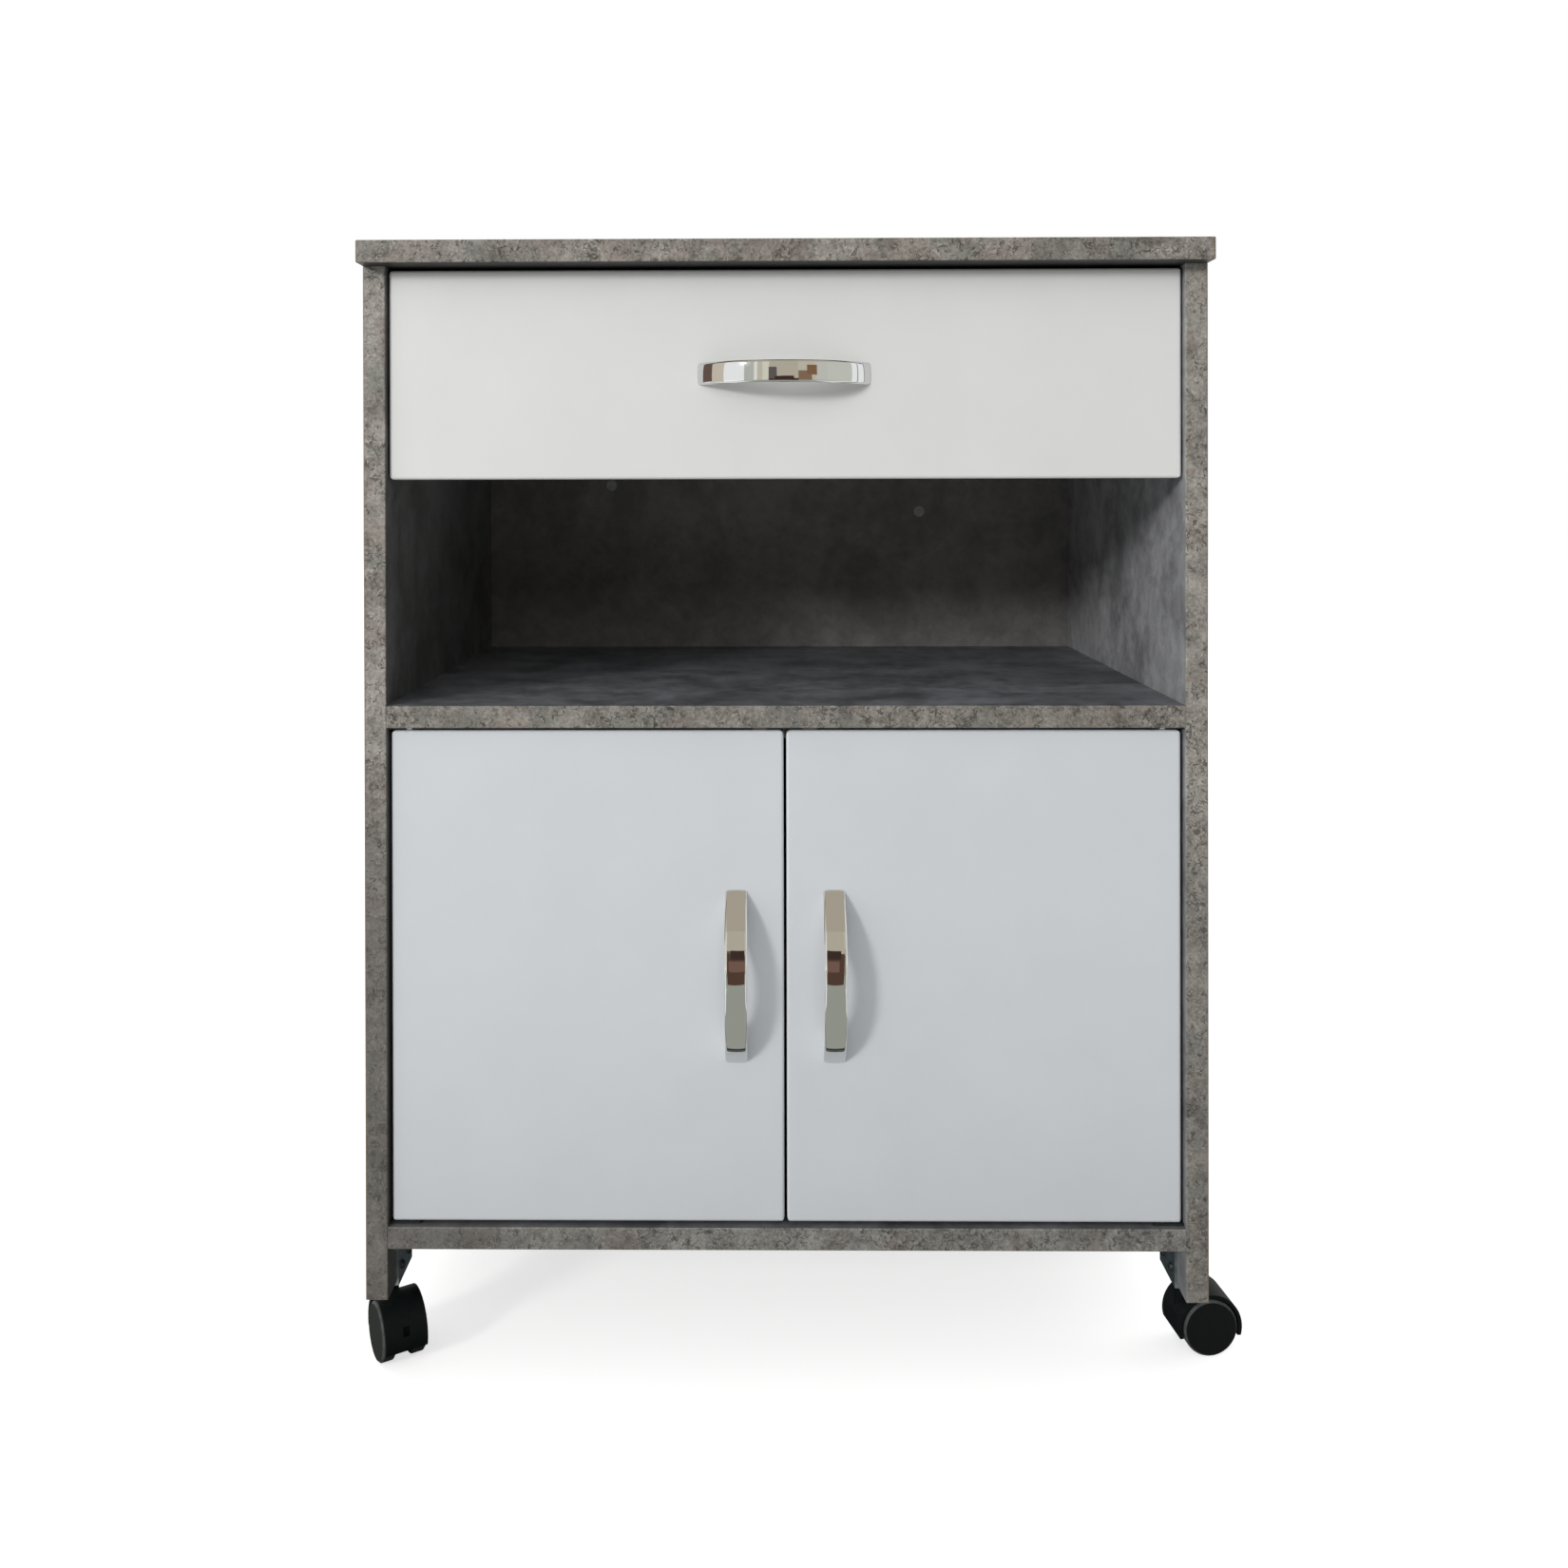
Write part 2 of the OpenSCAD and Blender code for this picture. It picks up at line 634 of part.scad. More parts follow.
// A snap-in plug: a round flange with a dimple, and a stem through the back panel
module back_panel_plugs() {
    color(nylon) placed() for (p = plugs) translate([p.x, side_d, p.y]) rotate([90, 0, 0])
        rotate_extrude() polygon([
            [0, -back_t - 0.5], [plug_stem_d / 2 - 0.5, -back_t - 0.5], [plug_stem_d / 2, -back_t],
            [plug_stem_d / 2, 0], [plug_d / 2, 0], [plug_d / 2 - 0.5, 1], [2, 1], [1.6, 0.2],
            [0, 0.2]]);
}

module inner_shelf() {
    color(concrete) placed() flat_board(-inner_x + inner_shelf_gap, inner_x - inner_shelf_gap,
        inner_shelf_setback, inner_shelf_setback + inner_shelf_d, inner_shelf_z);
}

module shelf_pins() {
    color(zinc) placed() for (s = [LEFT, RIGHT], y = shelf_pin_y)
        on_side(s) translate([0, y, shelf_pin_z]) {
            cyl_x(shelf_pin_d / 2, inner_x - cut, inner_x + shelf_pin_seat);
            cyl_x(shelf_pin_head / 2, inner_x - shelf_pin_out, inner_x);
        }
}

// A cam lock along Z with its slotted face at Z = 0 and its body above; the bolt comes in along +X
module cam() {
    difference() {
        cylinder(d = cam_d, h = cam_t);
        translate([0, 0, board_t / 2]) cyl_x(cam_bore_d / 2, -3, cam_d);
        for (a = [0, 90]) rotate([0, 0, a]) translate([-4, -0.6, -cut]) cube([8, 1.2, cut + 1.5]);
    }
}

module cam_locks() {
    color(zinc) placed() for (s = [LEFT, RIGHT], y = cam_y) on_side(s) {
        translate([inner_x, y, side_top - cam_reach]) rotate([0, 90, 0]) rotate([0, 0, 180]) cam();
        for (z = [bottom_z, shelf_z]) translate([inner_x - cam_reach, y, z]) cam();
    }
}

// A cam bolt along Z: its thread below Z = 0, its shank above, its head in the middle of the cam
module cam_bolt() {
    translate([0, 0, -cam_bolt_thread]) cylinder(d = cam_bolt_d, h = cam_bolt_thread + cam_reach - 2);
    translate([0, 0, cam_reach - 3]) cylinder(d = cam_bolt_head_d, h = 4);
}

module cam_bolts() {
    color(zinc) placed() for (s = [LEFT, RIGHT], y = cam_y) on_side(s) {
        translate([inner_x + board_t / 2, y, side_top]) mirror([0, 0, 1]) cam_bolt();
        for (z = shelf_mids) translate([inner_x, y, z]) rotate([0, -90, 0]) cam_bolt();
    }
}

module wood_dowels() {
    color(beech) placed() for (s = [LEFT, RIGHT]) on_side(s) {
        translate([inner_x + board_t / 2, dowel_y, side_top + dowel_seat - dowel_l])
            cylinder(d = dowel_d, h = dowel_l);
        for (z = shelf_mids) translate([0, dowel_y, z])
            cyl_x(dowel_d / 2, inner_x + dowel_seat - dowel_l, inner_x + dowel_seat);
    }
}

module board_screws() {
    color(zinc) placed() {
        for (s = [LEFT, RIGHT]) on_side(s) {
            rail_screw_places() board_screw();
            bracket_screw_places() board_screw();
            upper_pivot_screw_places() board_screw();
            lower_pivot_screw_places() board_screw();
        }
        catch_screw_places() board_screw();
    }
}

// ---------------------------------------------------------------- runners

// The rail on the side panel: a channel for the drawer's rear roller, with an open nose in front
// of it whose web carries the front roller's rivet
module cabinet_rail(side) {
    color(rail_white) placed() on_side(side) difference() {
        union() {
            translate([inner_x - rail_t, rail_y, rail_mid - rail_h / 2])
                cube([rail_t, runner_l, rail_h]);
            for (z = [rail_mid - rail_h / 2, rail_mid + rail_h / 2 - rail_t])
                translate([inner_x - rail_flange, rail_y + rail_nose, z])
                    cube([rail_flange, runner_l - rail_nose, rail_t]);
            translate([0, front_roller_y, front_roller_z])
                cyl_x(roller_pin_d / 2, roller_x - rivet_head_t, inner_x);
            translate([0, front_roller_y, front_roller_z])
                cyl_x(roller_pin_d / 2 + rivet_shoulder, roller_x - rivet_head_t, roller_x - fit);
        }
        rail_screw_places() screw_bore();
    }
}

module left_cabinet_rail() { cabinet_rail(LEFT); }
module right_cabinet_rail() { cabinet_rail(RIGHT); }

// The rail on the drawer: it wraps the side's lower edge, its lip runs on the front roller, and its
// rear end carries the rear roller's rivet
module drawer_rail(side) {
    color(rail_white) placed() on_side(side) difference() {
        union() {
            translate([drawer_inner_x, front_back, drawer_z - rail_t])
                cube([drawer_t + rail_t, runner_l, rail_t]);
            translate([drawer_x, front_back, drawer_z - rail_t])
                cube([rail_t, runner_l, lip_z + 2 * rail_t - drawer_z]);
            translate([drawer_x, front_back, lip_z])
                cube([rail_flange - 0.5, runner_l, rail_t]);
            translate([0, rear_roller_y, rail_mid])
                cyl_x(roller_pin_d / 2, drawer_x, roller_x + roller_w + rivet_head_t);
            translate([0, rear_roller_y, rail_mid])
                cyl_x(roller_pin_d / 2 + rivet_shoulder, roller_x + roller_w + fit,
                      roller_x + roller_w + rivet_head_t);
        }
        drawer_rail_screw_places() screw_bore(drawer_screw_l);
    }
}

module left_drawer_rail() { drawer_rail(LEFT); }
module right_drawer_rail() { drawer_rail(RIGHT); }

module drawer_rail_screw_places() {
    for (y = drawer_rail_screw_y)
        translate([drawer_x - drawer_t / 2, y, drawer_z - rail_t]) mirror([0, 0, 1]) children();
}

module drawer_rail_screws() {
    color(zinc) placed() for (s = [LEFT, RIGHT]) on_side(s) drawer_rail_screw_places()
        screw(screw_d, drawer_screw_l, screw_head_d, screw_head_h);
}

// A grooved nylon roller on its rivet
module runner_roller() {
    translate([roller_x, 0, 0]) rotate([0, 90, 0]) rotate_extrude() polygon([
        [roller_pin_d / 2 + fit, 0], [roller_r - 0.6, 0], [roller_r, 0.6], [roller_r, roller_w - 0.6],
        [roller_r - 0.6, roller_w], [roller_pin_d / 2 + fit, roller_w]]);
}

module front_roller(side) {
    color(nylon) placed() on_side(side) translate([0, front_roller_y, front_roller_z]) runner_roller();
}
module rear_roller(side) {
    color(nylon) placed() on_side(side) translate([0, rear_roller_y, rail_mid]) runner_roller();
}
module left_front_roller() { front_roller(LEFT); }
module right_front_roller() { front_roller(RIGHT); }
module left_rear_roller() { rear_roller(LEFT); }
module right_rear_roller() { rear_roller(RIGHT); }

// ---------------------------------------------------------------- drawer

module drawer_front() {
    color(front_white) placed() difference() {
        front_board(-drawer_front_w / 2, drawer_front_w, drawer_front_z, drawer_front_h);
        // groove for the drawer bottom
        translate([-drawer_inner_x - groove_depth, front_back - groove_depth,
                   drawer_bottom_z - groove_play])
            cube([2 * (drawer_inner_x + groove_depth), groove_depth + cut, groove_h]);
        for (s = [LEFT, RIGHT], z = drawer_dowel_z)
            translate([s * (drawer_x - drawer_t / 2), 0, z])
                cyl_y(drawer_dowel_d / 2, front_back - drawer_dowel_seat, front_back + cut);
        for (s = [LEFT, RIGHT])
            translate([s * handle_pitch / 2, 0, drawer_front_z + drawer_front_h / 2])
                cyl_y(handle_screw_d / 2 + 0.25, front_recess - cut, front_back + cut);
    }
}

module drawer_side(side) {
    color(front_white) placed() on_side(side) difference() {
        translate([drawer_inner_x, front_back, drawer_z])
            cube([drawer_t, runner_l, drawer_side_h]);
        translate([drawer_inner_x - cut, front_back - cut, drawer_bottom_z - groove_play])
            cube([groove_depth + cut, runner_l + 2 * cut, groove_h]);
        drawer_dowel_places() drawer_dowel_bore();
        drawer_rail_screw_places() screw_bore(drawer_screw_l);
    }
}

module drawer_left_side() { drawer_side(LEFT); }
module drawer_right_side() { drawer_side(RIGHT); }

// The middles of the drawer's dowels, along Z: into the front, and from the sides into the back
module drawer_dowel_places() {
    for (z = drawer_dowel_z) {
        translate([drawer_x - drawer_t / 2, front_back - drawer_dowel_seat + drawer_dowel_l / 2, z])
            rotate([90, 0, 0]) children();
        translate([drawer_inner_x + drawer_dowel_seat - drawer_dowel_l / 2,
                   drawer_back_y + drawer_t / 2, z])
            rotate([0, 90, 0]) children();
    }
}

module drawer_dowel_bore() {
    cylinder(d = drawer_dowel_d, h = drawer_dowel_l + 2 * cut, center = true);
}

module drawer_dowels() {
    color(beech) placed() for (s = [LEFT, RIGHT]) on_side(s)
        drawer_dowel_places() cylinder(d = drawer_dowel_d, h = drawer_dowel_l, center = true);
}

module drawer_back() {
    color(front_white) placed() difference() {
        translate([-drawer_inner_x, drawer_back_y, drawer_bottom_z + groove_h])
            cube([2 * drawer_inner_x, drawer_t, drawer_side_h - groove_rise - groove_h]);
        for (s = [LEFT, RIGHT]) on_side(s)
            drawer_dowel_places() drawer_dowel_bore();
    }
}

module drawer_bottom() {
    reach = groove_depth - groove_play;
    color(hardboard) placed()
        translate([-drawer_inner_x - reach, front_back - reach, drawer_bottom_z])
            cube([2 * (drawer_inner_x + reach), runner_l + reach, drawer_bottom_t]);
}

// ---------------------------------------------------------------- handles

function arc_r(half_chord, rise) = (half_chord * half_chord + rise * rise) / (2 * rise);

// A bow handle along X with its feet on the plane Y = 0, standing out towards -Y
module bow_handle() {
    outer_r = arc_r(handle_l / 2, handle_out);
    inner_out = handle_out - handle_t;
    inner_r = arc_r(handle_l / 2 - handle_foot, inner_out);
    w = handle_w / 2;
    difference() {
        intersection() {
            translate([0, outer_r - handle_out, 0]) rotate_extrude($fn = 180) polygon([
                [0, -w], [outer_r - handle_bevel, -w], [outer_r, -w + handle_bevel],
                [outer_r, w - handle_bevel], [outer_r - handle_bevel, w], [0, w]]);
            translate([-handle_l / 2 - cut, -handle_out - cut, -w - cut])
                cube([handle_l + 2 * cut, handle_out + cut, handle_w + 2 * cut]);
        }
        translate([0, inner_r - inner_out, -w - cut])
            cylinder(r = inner_r, h = handle_w + 2 * cut, $fn = 180);
        for (s = [LEFT, RIGHT]) translate([s * handle_pitch / 2, 0, 0])
            cyl_y(handle_screw_d / 2, -handle_thread - 0.5, cut);
    }
}

module handle_screws() {
    for (s = [LEFT, RIGHT]) translate([s * handle_pitch / 2, front_t, 0]) rotate([-90, 0, 0])
        screw(handle_screw_d, front_t + handle_thread, 2 * handle_screw_d, 2.4);
}

module drawer_handle_place() {
    translate([0, front_recess, drawer_front_z + drawer_front_h / 2]) children();
}
module door_handle_place() {
    translate([door_handle_x, front_recess, door_mid_z]) rotate([0, 90, 0]) children();
}

module drawer_handle() { color(chrome_grey) placed() drawer_handle_place() bow_handle(); }
module drawer_handle_screws() { color(zinc) placed() drawer_handle_place() handle_screws(); }

module door_handle(side) {
    color(chrome_grey) placed() on_side(side) door_handle_place() bow_handle();
}
module left_door_handle() { door_handle(LEFT); }
module right_door_handle() { door_handle(RIGHT); }

// ---------------------------------------------------------------- doors

module door(side) {
    color(front_white) placed() on_side(side) difference() {
        front_board(door_gap / 2, door_w, door_z, door_h);
        for (z = [door_z - cut, door_z + door_h - bush_l])
            translate([pivot_x, pivot_y, z]) cylinder(r = bush_r, h = bush_l + cut);
        door_handle_place() for (s = [LEFT, RIGHT]) translate([s * handle_pitch / 2, 0, 0])
            cyl_y(handle_screw_d / 2 + 0.25, -cut, front_t + cut);
        strike_screw_place() screw_bore();
    }
}

module left_door() { door(LEFT); }
module right_door() { door(RIGHT); }

module strike_screw_place() {
    translate([strike_x, front_back + strike_t, catch_z + strike_h / 2 - strike_screw_drop])
        rotate([-90, 0, 0]) children();
}

// The screws that a door carries: two in the handle and one in the strike plate
module door_screws(side) {
    color(zinc) placed() on_side(side) {
        door_handle_place() handle_screws();
        strike_screw_place() board_screw();
    }
}
module left_door_screws() { door_screws(LEFT); }
module right_door_screws() { door_screws(RIGHT); }

// A strike plate on the door's rear face, with a short tab folded over the door's top edge
module strike_plate(side) {
    top = door_z + door_h;
    low = catch_z + strike_h / 2 - strike_drop;
    color(zinc) placed() on_side(side) difference() {
        union() {
            translate([strike_x - strike_w / 2, front_back, low])
                cube([strike_w, strike_t, top + strike_t - low]);
            translate([strike_x - strike_w / 2, front_recess + strike_tab_inset, top])
                cube([strike_w, front_t - strike_tab_inset + strike_t, strike_t]);
        }
        strike_screw_place() screw_bore();
    }
}
module left_strike_plate() { strike_plate(LEFT); }
module right_strike_plate() { strike_plate(RIGHT); }

// Flanged bushes in the door's lower and upper edge
module pivot_bushes(side) {
    color(nylon) placed() on_side(side) for (up = [0, 1])
        translate([pivot_x, pivot_y, up ? door_z + door_h : door_z]) mirror([0, 0, up])
            rotate_extrude() polygon([
                [pivot_pin_d / 2 + fit, -flange_t], [bush_r + bush_flange, -flange_t],
                [bush_r + bush_flange, 0], [bush_r, 0], [bush_r, bush_l],
                [pivot_pin_d / 2 + fit, bush_l]]);
}
module left_pivot_bushes() { pivot_bushes(LEFT); }
module right_pivot_bushes() { pivot_bushes(RIGHT); }

// A steel plate with a riveted pin, above and below each door
module pivot_plates() {
    color(zinc) placed() for (s = [LEFT, RIGHT]) on_side(s) {
        difference() {
            pivot_plate(cupboard_z, 0);
            lower_pivot_screw_places() screw_bore();
        }
        difference() {
            pivot_plate(shelf_z, 1);
            upper_pivot_screw_places() screw_bore();
        }
    }
}

module pivot_plate(z, up) {
    translate([0, 0, z]) mirror([0, 0, up]) {
        translate([inner_x - pivot_plate_w, pivot_plate_y, 0])
            cube([pivot_plate_w, pivot_plate_l, pivot_plate_t]);
        translate([pivot_x, pivot_y, 0])
            cylinder(d = pivot_pin_d, h = front_gap + pivot_pin_l);
    }
}

module magnetic_catch() {
    color(nylon) placed() difference() {
        translate([-catch_w / 2, catch_y, catch_z]) cube([catch_w, catch_d, catch_h]);
        // the screw pockets from below, and the slots between the two pairs of pole plates
        for (s = [LEFT, RIGHT]) {
            translate([s * catch_screw_x, catch_y + catch_d / 2, catch_z - cut])
                cylinder(r = screw_head_d / 2 + pocket_play, h = catch_h - catch_web + cut);
            translate([s * strike_x - strike_w / 2, catch_y - cut, catch_z + catch_h / 2 - 1])
                cube([strike_w, cut + 1.5, 2]);
        }
        catch_screw_places() screw_bore();
    }
}

// ---------------------------------------------------------------- casters

// Places a caster: Z is its swivel axis and X runs along its axle
module caster_place(side, end) {
    placed() translate([side * swivel_x, swivel_y(end), 0]) rotate([0, 0, turn(side, end)]) children();
}

// A steel angle on the inner face of each side panel; its lower leg carries the riveted stem
module caster_brackets() {
    color(zinc) placed() for (s = [LEFT, RIGHT]) on_side(s) difference() {
        for (end = [FRONT, REAR]) {
            translate([inner_x - bracket_t, bracket_y(end) - bracket_l / 2, caster_h - bracket_t]) {
                cube([bracket_t, bracket_l, bracket_h + bracket_t]);
                cube([board_t + bracket_t, bracket_l, bracket_t]);
            }
            translate([swivel_x, swivel_y(end), stem_low])
                cylinder(d = stem_d, h = caster_h - stem_low);
        }
        bracket_screw_places() screw_bore();
    }
}

// The black housing of a twin-wheel caster: a middle web with a neck, and a hood over both wheels
module hood(side, end) {
    color(caster_black) caster_place(side, end) difference() {
        union() {
            translate([0, -trail, wheel_r]) difference() {
                cyl_x(hood_r, -hood_w / 2, hood_w / 2);
                for (s = [LEFT, RIGHT]) on_side(s) cyl_x(hood_in_r, web_w / 2, hood_w / 2 + cut);
                translate([-hood_w / 2 - cut, -hood_r - cut, -hood_r - cut])
                    cube([hood_w + 2 * cut, 2 * (hood_r + cut), hood_cut_z - wheel_r + hood_r + cut]);
            }
            translate([0, -trail, wheel_r]) cyl_x(web_r, -web_w / 2, web_w / 2);
            translate([0, 0, hood_cut_z]) cylinder(d = neck_d, h = neck_top - hood_cut_z);
        }
        translate([0, 0, stem_low - 0.5]) cylinder(d = stem_d + 2 * fit, h = neck_top);
        translate([0, -trail, wheel_r]) cyl_x(axle_d / 2, -web_w, web_w);
        translate([-hood_hole_w / 2, -trail - hood_r - cut, wheel_r + hood_hole_rise])
            cube([hood_hole_w, cut + hood_hole_depth, hood_hole_h]);
    }
}

module front_left_hood() { hood(LEFT, FRONT); }
module front_right_hood() { hood(RIGHT, FRONT); }
module rear_left_hood() { hood(LEFT, REAR); }
module rear_right_hood() { hood(RIGHT, REAR); }

module axle(side, end) {
    color(zinc) caster_place(side, end) translate([0, -trail, wheel_r])
        cyl_x(axle_d / 2, -axle_end, axle_end);
}

module front_left_axle() { axle(LEFT, FRONT); }
module front_right_axle() { axle(RIGHT, FRONT); }
module rear_left_axle() { axle(LEFT, REAR); }
module rear_right_axle() { axle(RIGHT, REAR); }

// A dished wheel with a closed outer face; way is the end of the axle that it sits on
module wheel(side, end, way) {
    hub_r = axle_d / 2 + wheel_rim;
    rim = wheel_rim;
    bevel = wheel_bevel;
    color(caster_black) caster_place(side, end) translate([0, -trail, wheel_r]) on_side(way)
        translate([web_w / 2 + wheel_web_gap, 0, 0]) rotate([0, 90, 0]) rotate_extrude($fn = 72)
            polygon([
                [0, wheel_t], [0, wheel_t - wheel_cap], [axle_d / 2 + fit, wheel_t - wheel_cap],
                [axle_d / 2 + fit, 0], [hub_r, 0], [hub_r, wheel_t - wheel_cap],
                [wheel_r - rim, wheel_t - wheel_cap], [wheel_r - rim, 0], [wheel_r - 0.8, 0],
                [wheel_r, 0.8], [wheel_r, wheel_t - bevel], [wheel_r - bevel, wheel_t]]);
}

module front_left_inner_wheel() { wheel(LEFT, FRONT, RIGHT); }
module front_left_outer_wheel() { wheel(LEFT, FRONT, LEFT); }
module front_right_inner_wheel() { wheel(RIGHT, FRONT, RIGHT); }
module front_right_outer_wheel() { wheel(RIGHT, FRONT, LEFT); }
module rear_left_inner_wheel() { wheel(LEFT, REAR, RIGHT); }
module rear_left_outer_wheel() { wheel(LEFT, REAR, LEFT); }
module rear_right_inner_wheel() { wheel(RIGHT, REAR, RIGHT); }
module rear_right_outer_wheel() { wheel(RIGHT, REAR, LEFT); }

top_panel();
left_side_panel();
right_side_panel();
middle_shelf();
bottom_panel();
back_panel();
inner_shelf();
shelf_pins();
cam_locks();
cam_bolts();
wood_dowels();
back_panel_nails();
back_panel_plugs();
left_cabinet_rail();
right_cabinet_rail();
board_screws();
pivot_plates();
magnetic_catch();
caster_brackets();
left_front_roller();
right_front_roller();
left_rear_roller();
right_rear_roller();
drawer_front();
drawer_left_side();
drawer_right_side();
drawer_back();
drawer_bottom();
left_drawer_rail();
right_drawer_rail();
drawer_rail_screws();
drawer_dowels();
drawer_handle();
drawer_handle_screws();
left_door();
left_door_handle();
left_door_screws();
left_pivot_bushes();
left_strike_plate();
right_door();
right_door_handle();
right_door_screws();
right_pivot_bushes();
right_strike_plate();
front_left_hood();
front_right_hood();
rear_left_hood();
rear_right_hood();
front_left_axle();
front_right_axle();
rear_left_axle();
rear_right_axle();
front_left_inner_wheel();
front_left_outer_wheel();
front_right_inner_wheel();
front_right_outer_wheel();
rear_left_inner_wheel();
rear_left_outer_wheel();
rear_right_inner_wheel();
rear_right_outer_wheel();
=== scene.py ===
import json
import bpy
import numpy as np
from mathutils import Matrix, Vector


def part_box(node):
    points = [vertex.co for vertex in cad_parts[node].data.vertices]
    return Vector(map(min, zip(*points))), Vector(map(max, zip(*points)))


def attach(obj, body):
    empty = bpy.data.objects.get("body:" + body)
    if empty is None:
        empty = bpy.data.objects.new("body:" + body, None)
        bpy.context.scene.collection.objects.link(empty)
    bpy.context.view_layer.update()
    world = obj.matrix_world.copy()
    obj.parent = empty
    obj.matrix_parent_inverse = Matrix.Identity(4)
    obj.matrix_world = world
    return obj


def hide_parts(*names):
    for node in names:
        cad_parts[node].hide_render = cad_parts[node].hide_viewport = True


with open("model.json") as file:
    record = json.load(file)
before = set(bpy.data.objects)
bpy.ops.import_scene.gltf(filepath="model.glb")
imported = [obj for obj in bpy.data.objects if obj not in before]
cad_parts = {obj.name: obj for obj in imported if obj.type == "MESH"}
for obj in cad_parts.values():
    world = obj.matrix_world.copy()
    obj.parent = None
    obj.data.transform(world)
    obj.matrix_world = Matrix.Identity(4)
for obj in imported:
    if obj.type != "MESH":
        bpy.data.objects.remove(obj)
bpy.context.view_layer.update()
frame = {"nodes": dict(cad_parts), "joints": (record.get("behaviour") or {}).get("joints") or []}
nodes = frame["nodes"]


# ---- Carcass boards -------------------------------------------------------------------------
# Flat-pack particle board, 16 mm, faced with matt melamine in a concrete look. The facing is
# printed décor paper pressed on with resin; the front edges carry a band with the same print, in
# which the worm-like flecks and pits show more crisply than on the faces.

def srgb(code):
    """An sRGB hex value as linear red, green, blue and alpha: each channel is v / 12.92 up to
    0.04045 and ((v + 0.055) / 1.055) ** 2.4 above it."""
    v = np.array([int(code[i:i + 2], 16) for i in (1, 3, 5)]) / 255
    return (*np.where(v <= 0.04045, v / 12.92, ((v + 0.055) / 1.055) ** 2.4), 1.0)


def put(tree, kind, inputs=(), stops=(), **settings):
    """Adds one node. Settings go on the node itself; inputs maps its input sockets to a number,
    a vector, a hex colour, or the node or output socket that feeds it; stops are the positions
    and hex colours of a colour ramp. Where a node's sockets share a name they go by number: the
    terms of Math are 0, 1 and 2, Map Range reads 0 between 1 and 2 and gives it between 3 and 4,
    or between 0 and 1, and a colour Mix has its share in 0 and its colours in 6 and 7."""
    made = tree.nodes.new("ShaderNode" + kind)
    for name, value in settings.items():
        setattr(made, name, value)
    for key, value in dict(inputs).items():
        if isinstance(value, bpy.types.Node):
            value = next(socket for socket in value.outputs if socket.enabled)
        if isinstance(value, bpy.types.NodeSocket):
            tree.links.new(value, made.inputs[key])
        else:
            made.inputs[key].default_value = srgb(value) if isinstance(value, str) else value
    for spot, (position, code) in enumerate(stops):
        marks = made.color_ramp.elements
        mark = marks[spot] if spot < 2 else marks.new(position)
        mark.position, mark.color = position, srgb(code)
    return made


def finish(name, **shader):
    """A material with its Principled shader's plain values set, its node tree, and its Object
    coordinates: metres from the middle of the floor under the stand."""
    mat = bpy.data.materials.new(name)
    mat.use_nodes = True
    tree = mat.node_tree
    body = tree.nodes["Principled BSDF"]
    for socket, value in shader.items():
        body.inputs[socket.replace("_", " ")].default_value = (
            srgb(value) if isinstance(value, str) else value)
    return mat, tree, body, put(tree, "TexCoord").outputs["Object"]


def wear(mat, *names):
    """Gives these CAD nodes the material, in every slot that they have."""
    for name in names:
        for slot in nodes[name].material_slots:
            slot.link = "OBJECT"
            slot.material = mat


